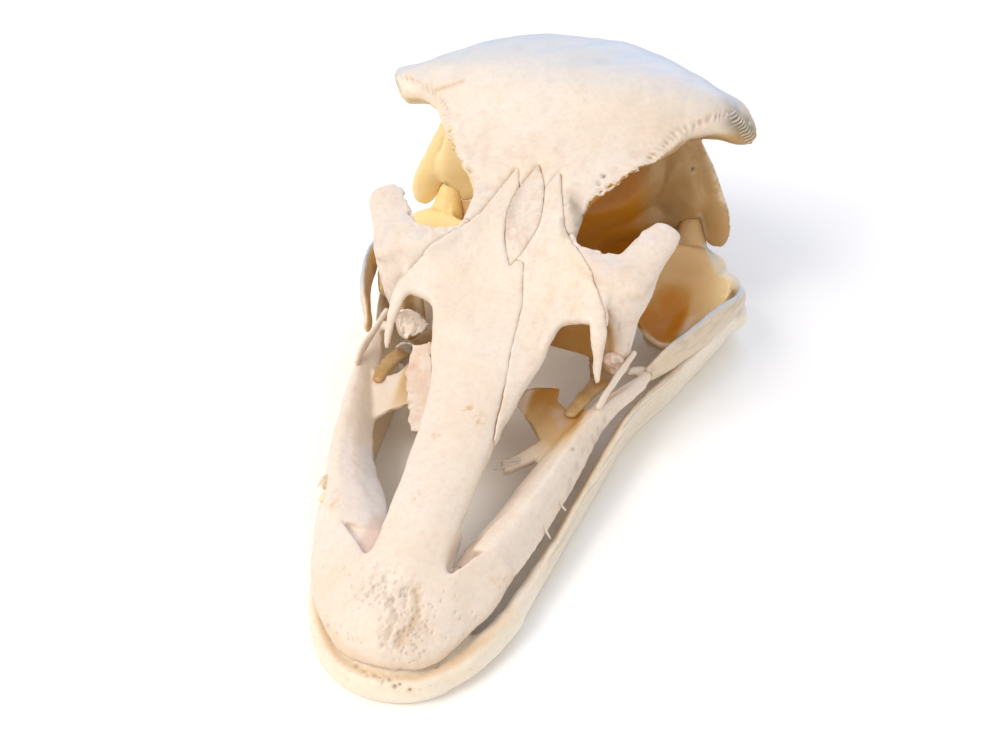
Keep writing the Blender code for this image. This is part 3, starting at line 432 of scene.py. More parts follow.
def fine_copy(name, nodes, voxel, material, rounds=3, bridge=0.0, swell=0.2):
    """A fine skin over the solids of one bone: merged, rounded by subdivision with its sharp edges kept,
    swollen by the bridge so that its parts join, turned into one even net, smoothed, shrunk by the bridge,
    raised by the swell that makes up for the rounding, and set wandering."""
    shape = bmesh.new()
    for node in nodes:
        shape.from_mesh(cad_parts[node].data)
    bmesh.ops.remove_doubles(shape, verts=shape.verts, dist=1e-6)
    crease = shape.edges.layers.float.new("crease_edge")
    for edge in shape.edges:
        if len(edge.link_faces) == 2 and edge.calc_face_angle(0) > SHARP:
            edge[crease] = CREASE
    made = bpy.data.objects.new(name, bpy.data.meshes.new(name))
    shape.to_mesh(made.data)
    shape.free()
    bpy.context.scene.collection.objects.link(made)
    rounding = made.modifiers.new("rounding", "SUBSURF")
    rounding.levels = rounding.render_levels = 2
    mesh = apply_modifiers(made)
    raise_skin(mesh, np.full(len(mesh.vertices), bridge))
    remesh = made.modifiers.new("skin", "REMESH")
    remesh.mode = "VOXEL"
    remesh.voxel_size = voxel * MM
    mesh = apply_modifiers(made)
    even_out(mesh, rounds)
    raise_skin(mesh, np.full(len(mesh.vertices), swell - bridge))
    move_vertices(mesh, drift(vertices(mesh)))
    settle(made, material)
    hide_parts(*nodes)
    return made


# Cleaned cortical bone: dense and satin, ivory with a pinkish bloom where the marrow shows through
cortical_bone = bone("cleaned_cortical_bone", "ebdfd3", "e8d7c4", "dabfaa", 0.42, 0.12)

BROW_EDGE = {
    LEFT: [
        (47.6, 154.2, 52.0), (45.2, 153.6, 56.5), (42.0, 153.4, 60.2), (38.7, 150.5, 60.1),
        (35.0, 148.3, 58.9), (32.2, 146.3, 58.0), (29.8, 143.7, 57.5), (27.3, 138.2, 55.8),
        (24.2, 131.0, 54.0), (19.3, 125.5, 52.5), (17.1, 123.5, 51.6), (15.1, 121.1, 50.6),
        (14.1, 116.6, 48.8),
    ]
}
BROW_EDGE[RIGHT] = [(-46.5, 153.5, 52.0), (-48.0, 153.5, 57.0), (-48.6, 153.3, 60.4), (-42.0, 150.8, 60.0)]
BROW_EDGE[RIGHT] += [(-x, y, z) for x, y, z in BROW_EDGE[LEFT][4:]]
COMB_PITCH = 1.0
COMB_DEPTH = 0.5
SOCKET_MIDDLE = (30.5, 127.0, 40.0)
SOCKET_RADII = (28.5, 23.0, 12.5)
SOCKET_TURN = math.radians(24)
BROW_NOTCHES = {  # places and widths
    LEFT: (
        [(15.8, 125.6, 52.8), (19.1, 125.3, 52.8), (21.6, 127.6, 53.5), (23.8, 130.2, 53.9)],
        (0.6, 0.8, 0.9, 0.5),
    ),
    RIGHT: (
        [(-17.0, 124.5, 52.5), (-20.5, 126.8, 53.2), (-24.6, 131.0, 54.1), (-27.0, 137.0, 55.5)],
        (1.1, 0.8, 1.1, 0.7),
    ),
}
NERVE_HOLES = [(34.0, 150.9, 44.1), (16.4, 127.7, 53.8), (-34.5, 149.2, 53.4)]
NERVE_HOLE_WIDTHS = (0.6, 0.4, 0.45)
LEFT_WING_FACE = [(43.6, 153.8, 58.0), (45.4, 154.4, 56.0), (46.4, 156.6, 55.2)]
RIGHT_WING_HOLLOW = [(-45.8, 151.9, 59.0), (-43.5, 151.0, 59.0), (-40.9, 150.3, 58.8)]
RIGHT_CREASE = [(-34.3, 148.5, 59.6), (-30.3, 148.4, 61.3), (-26.7, 148.9, 62.9)]
SOCKET_RIDGE = [(29.5, 150.3, 45.4), (27.4, 150.4, 40.0), (25.6, 150.3, 34.4), (23.7, 149.6, 30.2)]
DOME_DENTS = [(9.6, 154.5, 68.8), (19.8, 149.9, 65.6), (30.4, 148.1, 60.9), (24.0, 152.0, 65.0)]
DOME_DENTS += [(-14.0, 157.0, 69.0)]
NECK_ARC = [(28.0, 150.4, 24.5), (30.9, 150.1, 27.5), (34.9, 149.3, 32.0), (38.4, 149.4, 31.0)]
LOBE_RIM = [(36.4, 149.6, 31.5), (37.6, 149.0, 28.4), (38.4, 148.4, 25.6)]
RIGHT_LOBE = [(-36.6, 151.0, 42.0), (-38.5, 149.5, 36.0), (-41.0, 148.2, 30.5), (-39.0, 148.0, 26.5)]
RIGHT_SLIT = [(-34.3, 149.7, 30.4), (-35.2, 149.2, 28.0), (-36.3, 148.7, 26.2)]
SOCKET_CORNER = [(10.6, 121.0, 50.6), (13.4, 116.0, 48.6), (13.4, 110.6, 47.0)]


def in_socket(points, side):
    """1 on the walls of the eye socket, falling to 0 a few millimetres outside its tipped ellipsoid."""
    x, y, z = (points - (side * SOCKET_MIDDLE[0], *SOCKET_MIDDLE[1:])).T
    back = y * math.cos(SOCKET_TURN) + z * math.sin(SOCKET_TURN)
    up = -y * math.sin(SOCKET_TURN) + z * math.cos(SOCKET_TURN)
    reach = np.linalg.norm(np.stack([x, back, up], -1) / SOCKET_RADII, axis=1)
    return ease(1.24, 1.06, reach)


def braincase():
    """The fine skin of the cranium, with comb, notches, holes and dents sunk into it, and its paint."""
    made = fine_copy("cranium_bone", ["cranium"], 0.62, cortical_bone)
    mesh = made.data
    for reach in (2.8, 1.6):
        points = vertices(mesh)
        gap = np.minimum(*[near(points, BROW_EDGE[side])[0] for side in SIDES])
        refine(mesh, (gap < reach) & (points[:, 1] > 113))
    points = vertices(mesh)
    heights = 0.045 * fractal(points, 2.4, 31) + 0.02 * fractal(points, 0.9, 35, 2)
    comb = np.zeros(len(points))
    for side in SIDES:
        gap, run = near(points, BROW_EDGE[side])
        end = ease(11.0, 6.0, run)
        ragged = ease(-0.5, 0.5, lattice_noise(points, 2.1, 41))
        slant = run + 0.5 * (points[:, 2] - 54.0) + 0.5 * side * points[:, 0]
        swing = 2.4 * lattice_noise(points, 2.4, 42)
        tooth = 0.5 - 0.5 * np.cos(2 * math.pi * slant / COMB_PITCH + swing)
        edge = np.exp(-((gap / (1.1 + 1.6 * end)) ** 2))
        heights -= COMB_DEPTH * (0.3 + 0.7 * ragged) * tooth * edge * (1.0 - 0.2 * end)
        heights -= 0.25 * ragged * edge
        comb = np.maximum(comb, tooth * edge * (0.3 + 0.7 * end))
        places, widths = BROW_NOTCHES[side]
        heights -= 1.3 * spotted(points, places, widths)
    hole = spotted(points, NERVE_HOLES, NERVE_HOLE_WIDTHS)
    hollow = beside(points, RIGHT_WING_HOLLOW, 1.3)
    heights -= 0.8 * hole + 0.7 * hollow
    heights += 0.35 * beside(points, SOCKET_RIDGE, 0.9)
    heights -= 0.2 * spotted(points, DOME_DENTS, 2.2)
    heights -= 0.25 * beside(points, RIGHT_CREASE, 0.5)
    raise_skin(mesh, heights)
    even_out(mesh, 1, push=0.25, pull=0.0)

    points, facing = vertices(mesh), normals(mesh)
    x, y, z = points.T
    # The skull's left side is away from the window and painted in shade; its right side is lit
    left, right = ease(-2, 2, x), ease(2, -2, x)
    below = ease(0.5, 0.1, facing[:, 2])
    # The walls of both sockets: those of the ellipsoid, the front of the dome behind it, and the bone below
    hollow_walls = np.maximum(in_socket(points, LEFT), in_socket(points, RIGHT))
    hollow_walls = hollow_walls * np.maximum(below, ease(50, 46, z))
    front = ease(0.25, -0.15, facing[:, 1]) * ease(0.75, 0.4, facing[:, 2])
    back_wall = front * ease(57.5, 54, z) * ease(160, 157, y) * ease(124, 130, y)
    bottom = ease(36, 33, z) * ease(152, 149, y) * ease(128, 132, y) * ease(36, 33, np.abs(x))
    inside = np.maximum.reduce([hollow_walls, back_wall, bottom])
    # Innermost, beside the wall between the sockets, the fat and the painted shade are darkest
    deep = ease(25.0, 19.0, np.abs(x)) * ease(151, 147, y)
    # Painted shade on the underside of each wing, in the shadow of the socket's roof
    under_wing = ease(0.0, -0.5, facing[:, 2]) * ease(49, 52, z)
    under_wing = under_wing * ease(24, 30, np.abs(x)) * ease(162, 158, y)
    # Painted grey shade on the outer socket walls
    greyed = inside * (1 - deep)
    # Amber for fat and for painted shade: strong in the shaded left socket, faint in the lit right one, and
    # on low faces that look down
    amber = np.maximum.reduce([
        inside * (0.52 + 0.5 * deep) * left,
        inside * 0.12 * right,
        0.28 * under_wing,
        0.2 * ease(0.0, -0.6, facing[:, 2]) * ease(34, 26, z),
    ])
    # In the lit right socket the lobe and walls are painted with light shining yellow through thin bone, and
    # a band by the outer wall with an orange painted shade crease
    lobe = beside(points, RIGHT_LOBE, 3.6)
    band = ease(-27.0, -29.0, x) * ease(-34.0, -32.2, x) * inside
    arc = beside(points, NECK_ARC, 1.7)
    # The top of the dome and the faces that look back carry a painted reflection of the blue sky; dirt sits
    # in the comb, and the hollows that face up are darker
    sky = ease(143, 161, y) * ease(0.2, 0.75, facing[:, 2]) * ease(57, 61, z)
    back = ease(0.2, 0.9, facing[:, 1]) * ease(44, 58, z)
    flecks = ease(-0.2, 0.7, fibres(points, (1, 0.3, 0), 1.6, 51))
    grime = np.clip(hollowness(mesh) * 9.0, 0, 0.3) * ease(0.0, 0.4, facing[:, 2])
    streak = 0.5 + 0.5 * ease(-0.2, 0.6, fibres(points, (0.4, -0.9, -0.2), 1.3, 61))
    streak = streak * beside(points, SOCKET_CORNER, 1.9)
    wing_face = beside(points, LEFT_WING_FACE, 3.4) * ease(0.75, 0.6, facing[:, 2])
    # Painted shade crease and painted light through the lobe, both in orange
    right_fat = np.maximum(0.85 * band, 0.5 * lobe * ease(0.0, 0.5, fractal(points, 3.0, 55)))
    paint(
        mesh,
        amber=amber,
        # Painted light shining yellow through the right socket's lobe and walls
        honey=np.maximum(0.95 * lobe, 0.75 * inside) * right,
        # Orange at the neck arc on the left; on the right, painted light through the lobe and a painted
        # shade crease
        flame=np.maximum(0.9 * arc * left, right * right_fat),
        cream=0.6 * beside(points, LOBE_RIM, 0.7) + 0.6 * hollow,
        # Painted reflection of the sky on the dome's top, weaker on the faces that look back
        cool=np.maximum(sky * (0.7 + 0.2 * flecks) * ease(182, 168, y), 0.15 * back),
        # Dirt in the comb and, with painted shade, in the streaks; painted shade in the left socket, under
        # the wings and in the right slit; darker in the hollows that face up
        dust=np.maximum.reduce([
            0.8 * comb * (z < 61) * left,
            0.45 * comb,
            grime,
            0.8 * streak,
            wing_face * (0.9 + 0.1 * comb),
            0.3 * greyed * left,
            0.34 * under_wing,
            0.65 * beside(points, RIGHT_SLIT, 0.8),
        ]),
        rose=0.3 * ease(0.0, 0.7, fractal(points, 1.8, 52)) * ease(64, 52, z) * (1 - inside),
        stain=0.35 * beside(points, RIGHT_CREASE, 0.6),
        # Painted shade inside the nerve holes
        pore=hole,
    )


braincase()

# Forehead wedge
# The mesethmoid, the upright bone between the eyes, shows on the forehead as a pale pointed oval of thin
# spongy bone, set between the others along open sutures.

# Thin spongy bone: greyer and more see-through than the rest, from the air spaces under its face
spongy_bone = bone("thin_spongy_bone", "e9ddd0", "e2d2c3", "cfb5a3", 0.5, 0.2)

LENS_SHADE = [(0.7, 130.6, 55.7), (-4.9, 126.1, 53.3), (-7.4, 119.1, 50.1), (-7.4, 110.9, 46.8)]


def forehead_wedge():
    """The fine skin of the mesethmoid, with a relief drawn out along the forehead."""
    made = fine_copy("mesethmoid_bone", ["mesethmoid"], 0.34, spongy_bone, swell=0.16)
    points = vertices(made.data)
    raise_skin(made.data, 0.10 * fractal(points, 2.0, 71) + 0.05 * fibres(points, (0, 1, 0.4), 0.8, 72))
    paint(
        made.data,
        rose=0.35 * ease(-0.1, 0.7, fractal(points, 1.6, 73)),
        # Painted shade on the wedge's right half and along its shaded side, and amber painted shade low down
        # between the sockets
        dust=0.2 * ease(-1.0, -4.0, points[:, 0]) + 0.25 * beside(points, LENS_SHADE, 2.4),
        amber=0.6 * ease(44, 38, points[:, 2]),
    )


forehead_wedge()

# Left nasal bone
# An arched plate of smooth ivory bone between the bill and the forehead. It frames the rear end of the
# nostril, and its inside is painted brown as shade. The right one is made with the upper bill.

NASAL_SUTURE = [(14.6, 109.0, 46.6), (18.0, 104.4, 44.6), (21.6, 101.4, 42.6), (24.6, 98.4, 40.4)]
NASAL_CORNER = [(10.6, 114.6, 48.6), (12.6, 110.4, 47.0)]


def left_nasal():
    """The fine skin of the left nasal, with a relief drawn out along the bone."""
    made = fine_copy("nasal_bone_l", ["nasal_l"], 0.34, cortical_bone)
    points, facing = vertices(made.data), normals(made.data)
    y, z = points[:, 1], points[:, 2]
    grain = fibres(points, (0.15, 1, 0.5), 1.0, 82)
    raise_skin(made.data, 0.04 * grain + 0.05 * fractal(points, 2.6, 84))
    # Painted shade: the back wall and the faces that look down inside the nostril's arch take amber
    wall = ease(-0.8, -0.93, facing[:, 1]) * ease(94, 96, y) * ease(37, 34, z)
    inner = np.maximum(wall, ease(-0.2, -0.6, facing[:, 2]))
    hem = beside(points, NASAL_SUTURE, 0.45)
    streak = ease(0.0, 0.6, fibres(points, (0.3, -0.9, -0.1), 1.2, 61)) * beside(points, NASAL_CORNER, 1.8)
    paint(
        made.data,
        amber=0.66 * inner,
        dust=np.maximum(0.2 * hem, 0.4 * streak),
        stain=0.10 * ease(0.2, 0.7, grain) * ease(0.2, 0.6, facing[:, 2]) + 0.2 * hem,
        rose=0.15 * ease(0.0, 0.7, fractal(points, 2.0, 86)),
    )


left_nasal()

# Tear bones
# The lacrimals stand off the sides like ears: flat spongy plates with a rounded rough end and a torn inner
# edge, on a leg that runs down behind the nostril to the cheek bar.

EAR_INNER_EDGE = {
    LEFT: [
        (15.5, 108.6, 46.6), (20.6, 107.8, 46.0), (25.1, 108.0, 45.9), (26.0, 109.4, 45.9),
        (28.2, 113.4, 47.6), (29.9, 117.2, 48.9), (31.3, 119.2, 49.4),
    ]
}
EAR_INNER_EDGE[RIGHT] = [(-x - max(0, x - 25.5) * 0.3, y, z) for x, y, z in EAR_INNER_EDGE[LEFT]]
TEAR_DEPTH = {LEFT: 1.0, RIGHT: 1.7}


def tear_bone(side):
    """The fine skin of one lacrimal, its inner edge sunk wherever a noise is high, so it looks torn."""
    name = "lacrimal_" + SIDES[side]
    made = fine_copy("tear_" + name, [name], 0.34, spongy_bone)
    mesh = made.data
    points = vertices(mesh)
    refine(mesh, near(points, EAR_INNER_EDGE[side])[0] < 2.4)
    points, facing = vertices(mesh), normals(mesh)
    x, z = points[:, 0], points[:, 2]
    gap = near(points, EAR_INNER_EDGE[side])[0]
    torn = ease(-0.25, 0.55, lattice_noise(points, 1.7, 91)) * np.exp(-((gap / 1.6) ** 2))
    rough = fractal(points, 1.3, 93)
    rim = ease(0.62, 0.2, np.abs(facing[:, 2])) * ease(28, 34, np.abs(x))
    raise_skin(mesh, -TEAR_DEPTH[side] * torn + 0.05 * fractal(points, 2.4, 92) + 0.09 * rough * rim)
    even_out(mesh, 1, push=0.3, pull=0.0)
    leg = ease(40, 34, z)
    inner = ease(0.1, -0.5, facing @ (side, 0, 0.2))
    paint(
        mesh,
        rose=0.22 * ease(-0.2, 0.8, fractal(points, 1.9, 94)) + 0.12 * rim,
        # Painted shade on the faces that look down and on the leg's inner faces
        amber=0.35 * ease(0.0, -0.6, facing[:, 2]) + 0.4 * inner * leg,
        dust=0.2 * ease(0.1, 0.6, fibres(points, (0, 0.1, 1), 1.0, 95)) * leg + 0.15 * torn,
        cream=0.5 * np.exp(-((gap / 1.0) ** 2)),
        # A patchy painted reflection of the sky on the faces that look up
        cool=0.2 * ease(0.3, 0.8, fractal(points, 4.0, 96)) * ease(0.5, 0.9, facing[:, 2]),
    )


for side in SIDES:
    tear_bone(side)

# Upper bill
# The culmen, the tip, the side bars and the right nasal have grown into one bone. Nerves and vessels pierced
# the tip, and its middle is rough where the horny sheath was rooted. The side bars carry thin inner plates.

BILL_MARGIN = [(22.8, 35), (20.9, 28), (18.3, 22), (15.2, 17), (11.8, 13), (7.8, 10), (1.6, 8.6)]
ROUGH_MIDDLE = [(-2.9, 21.0, 16.4), (3.4, 19.0, 15.4), (4.0, 14.4, 12.9)]
TIP_CLEFT = [(4.6, 22.5, 17.0), (6.4, 18.6, 15.0), (5.4, 14.6, 12.9), (4.4, 12.0, 11.8)]
CULMEN_STAINS = [(4.3, 64.5, 27.1), (1.6, 66.4, 27.9), (-3.5, 58.7, 25.8), (-2.2, 42.2, 23.0)]
EDGE_STAINS = [(19.5, 32.2, 12.7), (20.6, 34.0, 12.4), (-24.8, 43.7, 17.0), (-22.9, 41.0, 16.5)]
TEAR_HOLES = [(24.6, 71.0, 17.2), (26.1, 70.6, 15.6), (16.2, 62.8, 12.2)]
CULMEN_GROOVE = [(7.6, 74.0, 28.6), (8.9, 62.2, 24.2), (9.6, 52.0, 21.0)]
LEFT_RIDGE = [(11.0, 30, 17.0), (13.8, 44, 15.4), (17.8, 54, 15.6)]
LEFT_CRACK = [(9.0, 33.5, 15.4), (11.2, 32.0, 15.0), (12.6, 31.6, 15.2)]
SHELF_HOLE = [(17.4, 82.6, 15.8), (19.0, 80.6, 15.4)]


def bill_edge(outward, forward, height):
    """The bill's margin from its right corner round the tip to its left one, shifted, at one height."""
    right = [(-(wide + outward), back - forward, height) for wide, back in BILL_MARGIN]
    left = [(wide + outward, back - forward, height) for wide, back in BILL_MARGIN[::-1]]
    return right + left


def scattered(points, count, seed, weight):
    """A seeded draw of points, each as likely as its weight."""
    chance = weight / weight.sum()
    return points[np.random.default_rng(seed).choice(len(points), count, replace=False, p=chance)]


def upper_bill():
    """The fine skin of the joined bones: pits, cleft and fissures in the tip, and torn plate rims."""
    nodes = ["premaxilla", "maxilla_l", "maxilla_r", "nasal_r"]
    made = fine_copy("upper_bill_bone", nodes, 0.47, cortical_bone, bridge=0.2)
    mesh = made.data
    points, facing = vertices(mesh), normals(mesh)
    refine(mesh, (points[:, 1] < 30) & (facing[:, 2] > 0.1))
    points, facing = vertices(mesh), normals(mesh)
    x, y, z = points.T
    tip = ease(34, 20, y) * ease(0.0, 0.4, facing[:, 2])
    middle = beside(points, ROUGH_MIDDLE, 4.2)
    holes = scattered(points, 170, 101, tip * (0.12 + middle) + 1e-9)
    sizes = np.random.default_rng(102).uniform(0.14, 0.3, len(holes))
    pit = spotted(points * (1.0, 0.5, 1.0), holes * (1.0, 0.5, 1.0), sizes)
    cleft = beside(points, TIP_CLEFT, 0.7)
    grain = fibres(points, (0, 1, 0.35), 1.0, 103)
    rough = fractal(points, 1.1, 104, 2)
    fissures = ease(0.12, 0.5, fibres(points, (0.1, 1, 0.3), 0.9, 105, 3.0)) * middle
    heights = -0.3 * pit * tip - 0.4 * cleft + 0.04 * grain + 0.05 * fractal(points, 2.8, 106)
    heights += 0.15 * rough * middle - 0.3 * fissures - 0.35 * beside(points, CULMEN_GROOVE, 0.8)
    heights += 0.25 * beside(points, LEFT_RIDGE, 0.9) * (x > 0) - 0.5 * spotted(points, TEAR_HOLES, 0.45)
    # The thin plates behind and the flange along each side bar's inner edge have torn rims
    plate = ease(58, 64, y) * ease(9, 11, np.abs(x)) * ease(31, 28, np.abs(x)) * ease(20, 18, z)
    inward = 24 - 0.28 * (57 - y) - np.abs(x)
    flange = ease(64, 60, y) * ease(36, 39, y) * ease(0, 2, inward) * ease(16, 14.5, z)
    ragged = ease(-0.2, 0.6, lattice_noise(points, 1.5, 107)) * ease(0.5, 0.2, np.abs(facing[:, 2]))
    heights -= 0.7 * ragged * np.maximum(plate, flange) * ease(0.1, -0.3, facing @ (1, 0, 0) * np.sign(x))
    raise_skin(mesh, heights)
    even_out(mesh, 1, push=0.25, pull=0.0)
    left = x > 0
    crack = beside(points, LEFT_CRACK, 0.35) * left
    crust = ease(0.0, 0.5, fractal(points, 0.9, 108))
    stains = spotted(points, CULMEN_STAINS, (1.6, 1.3, 1.2, 1.0)) * crust
    edge_stain = spotted(points, EDGE_STAINS, 1.8)
    # Painted shade: the medial plates, deeper towards the back and on the left, in the culmen's shadow;
    # faces that look down; the inside of the right nostril
    medial = plate * ease(25, 22, np.abs(x))
    cavity = ease(-0.2, -0.6, facing[:, 2]) + ease(-0.8, -0.93, facing[:, 1]) * ease(94, 96, y)
    cavity = np.clip(cavity, 0, 1) * ease(80, 84, y) * (x < 0) * (z > 30)
    tongue = ease(27, 30, y) * ease(44, 40, y) * ease(8.5, 9.5, np.abs(x))
    tongue = tongue * ease(16.0, 15.2, z) * ease(14, 12.5, np.abs(x))
    under = ease(0.1, -0.5, facing[:, 2])
    margin = beside(points, bill_edge(0, 0, 8.0), 1.6)
    paint(
        mesh,
        amber=np.maximum.reduce([
            medial * np.where(left, 0.75, 0.5) * ease(64, 90, y),
            0.25 * under * ease(24, 34, y),
            0.4 * cavity,
        ]),
        rose=0.2 * middle + 0.1 * ease(0.1, 0.8, fractal(points, 1.9, 109)) + 0.6 * tongue,
        dust=np.maximum.reduce([0.3 * fissures, 0.25 * cleft, 0.3 * tongue * left, 0.25 * plate * ragged]),
        # Ochre stains, and painted shade along the bill's margin where it sits on the lower jaw
        stain=np.maximum.reduce([0.7 * stains, 0.5 * edge_stain * crust, 0.28 * margin, 0.3 * cleft]),
        # Painted sky-blue light round the hole in the shelf and on the right side bar's flange
        cool=0.3 * spotted(points, SHELF_HOLE, 1.6) + 0.25 * flange * (x < 0),
        # Painted shade in the pits, the crack and the holes
        pore=np.maximum.reduce([0.16 * pit * tip, 0.95 * crack, 0.8 * spotted(points, TEAR_HOLES, 0.4)]),
    )


upper_bill()

# Cheek bars
# A thin splint and a flat strap of bone on each side tie the upper jaw to the jaw joint. The strap's upper
# edge is burnished and carries a painted reflection of the sky; its other faces are painted darker as shade.


def cheek_bars(side):
    """One splint and one strap, each with a relief drawn out along the bar."""
    letter = SIDES[side]
    splint = fine_copy("cheek_splint_" + letter, ["jugal_splint_" + letter], 0.2, cortical_bone)
    points = vertices(splint.data)
    raise_skin(splint.data, 0.06 * fibres(points, (0, 1, 0.4), 0.6, 111))
    strap = fine_copy("cheek_strap_" + letter, ["quadratojugal_" + letter], 0.3, cortical_bone)
    points, facing = vertices(strap.data), normals(strap.data)
    raise_skin(strap.data, 0.05 * fibres(points, (0.1, 1, 0), 0.9, 112) + 0.04 * fractal(points, 2.0, 113))
    top = ease(0.2, 0.8, facing[:, 2])
    paint(
        strap.data,
        # Painted reflection of the sky on the top faces; the faces that do not look up, and those that look
        # in towards the skull, are painted with shade
        cool=0.75 * top * ease(104, 112, points[:, 1]),
        dust=0.16 * ease(0.0, 0.8, fibres(points, (0.1, 1, 0), 1.4, 114)) + 0.12 * (1 - top),
        amber=0.3 * ease(0.2, -0.6, facing @ (side, 0, 0)) + 0.15 * (1 - top),
    )


for side in SIDES:
    cheek_bars(side)

# Jaw joint and palate
# The quadrate hangs from the braincase behind the eye and carries the jaw. Fat has soaked it and the bones
# of the palate, and like the dried membrane in the scoop before the joint they have turned tan to amber. The
# left quadrate's deeper amber is painted shade, and the right one's yellow is painted light.

SCOOP_FLOOR = [(29.7, 123.7, 14.4), (32.7, 121.5, 13.0), (35.5, 127.6, 13.1), (33.5, 131.5, 14.2)]
SCOOP_EDGE = [(39.6, 147.4, 22.4), (43.9, 144.2, 18.8), (48.5, 142.4, 17.0), (50.4, 139.6, 16.6)]
SCOOP_BRIM = [(28.6, 118.6, 15.0), (30.7, 117.4, 14.6), (34.4, 115.6, 14.4), (38.4, 115.6, 14.8)]
SCOOP_SKIN = [(38.6, 121.0, 15.6), (39.6, 127.0, 15.4)]
QUADRATE_NECK = [(33.0, 152.0, 27.0), (34.5, 148.0, 24.5)]
YELLOW_SPOTS = [(47.6, 139.4, 17.4), (46.6, 135.0, 17.2)]
PALATE = {"pterygoid": 131, "palatine": 135}  # the seed of each bone's grain

# Fat-soaked bone: tan to orange, more gloss and glow than clean bone
fatty_bone = bone("fat_soaked_bone", "eedbb4", "e6c990", "dcb679", 0.36, 0.2)


def quadrate(side):
    """The fine skin of one quadrate; the places of its paint are the left one's, mirrored."""
    name = "quadrate_" + SIDES[side]
    made = fine_copy("jaw_" + name, [name], 0.32, fatty_bone)
    mesh = made.data
    points, facing = vertices(mesh), normals(mesh)
    raise_skin(mesh, 0.05 * fractal(points, 2.2, 121))
    local = points * (side, 1, 1)
    bowl = beside(local, SCOOP_FLOOR, 5.0) * ease(39.5, 37.0, local[:, 0])
    neck = beside(local, QUADRATE_NECK, 2.6)
    upward = ease(0.0, 0.5, facing[:, 2])
    edge = beside(local, SCOOP_EDGE, 1.5)
    brim = beside(local, SCOOP_BRIM, 0.9)
    skin = beside(local, SCOOP_SKIN, 1.7)
    patch = spotted(local, YELLOW_SPOTS, 1.7)
    near_edge = ease(38, 47, local[:, 0]) * upward
    amber = 0.4 - 0.15 * near_edge + 0.75 * bowl * upward - 0.5 * edge - 0.5 * brim
    # The left quadrate is in shade and painted deeper amber; the lit right one is painted yellow as light
    strong = 1.0 if side == LEFT else 0.45
    right_honey = (side == RIGHT) * 0.9 * ease(16, 20, points[:, 2])
    paint(
        mesh,
        amber=np.clip(amber, 0, 1) * strong,
        honey=np.maximum.reduce([0.4 * near_edge, 0.7 * patch, right_honey]),
        flame=np.maximum.reduce([0.75 * neck * (side == LEFT), 0.5 * patch, 0.35 * bowl * upward * strong]),
        cream=np.maximum.reduce([0.6 * brim, 0.55 * skin]),
        # Painted reflection of the sky on the burnished outer edge
        cool=0.95 * edge,
        # Darker in the hollows
        dust=np.clip(hollowness(mesh) * 6, 0, 0.2),
    )


def palate_bone(name, seed, letter):
    """The fine skin of one bone of the palate, with a relief drawn out along it."""
    made = fine_copy(name + "_bone_" + letter, [name + "_" + letter], 0.26, fatty_bone)
    points = vertices(made.data)
    raise_skin(made.data, 0.07 * fibres(points, (0.3, 1, 0), 0.8, seed))
    paint(
        made.data,
        amber=0.42 + 0.12 * fractal(points, 3.0, seed + 1),
        dust=0.2 + 0.2 * ease(0, 1, fractal(points, 1.2, seed + 2)),
    )


for side, letter in SIDES.items():
    quadrate(side)
    for name, seed in PALATE.items():
        palate_bone(name, seed, letter)

vomer = fine_copy("vomer_bone", ["vomer"], 0.3, spongy_bone)
points = vertices(vomer.data)
raise_skin(vomer.data, 0.06 * fractal(points, 1.6, 141))
paint(
    vomer.data,
    amber=0.45 * ease(76, 96, points[:, 1]),
    rose=0.4 * ease(-0.2, 0.7, fractal(points, 1.5, 142)),
)

# Lower jaw
# The two branches and the tip have grown into one bone, a little yellower than the braincase. Vessel holes
# pierce it round the tip, and its outer sides are grooved lengthwise, where the horny sheath was held.

GROOVE_PITCH = 1.25  # of the outer sides' grooves
LINE_PITCH = 1.6  # of the fine lines along the top
BRANCH_TURN = 0.12  # radians that each branch leans out from straight back

# Bone under the horny sheath: straw ivory, close-grained
sheath_bone = bone("grooved_jaw_bone", "f3eadb", "efe1cc", "e2cdb0", 0.42, 0.12)

TIP_HOLES = [
    (-8.2, 11.2, 4.9), (-9.0, 10.6, 4.8), (-7.2, 10.2, 5.0), (-2.2, 8.0, 5.6), (-1.2, 7.2, 5.6),
    (0.2, 7.6, 5.6), (1.4, 7.5, 5.6), (2.4, 6.9, 5.5), (3.5, 7.6, 5.6), (5.9, 7.2, 5.6), (5.0, 6.6, 5.3),
    (8.1, 7.0, 4.8), (7.9, 10.5, 5.2), (11.8, 13.1, 5.5), (15.2, 17.5, 5.5), (-4.4, 8.8, 5.6),
]


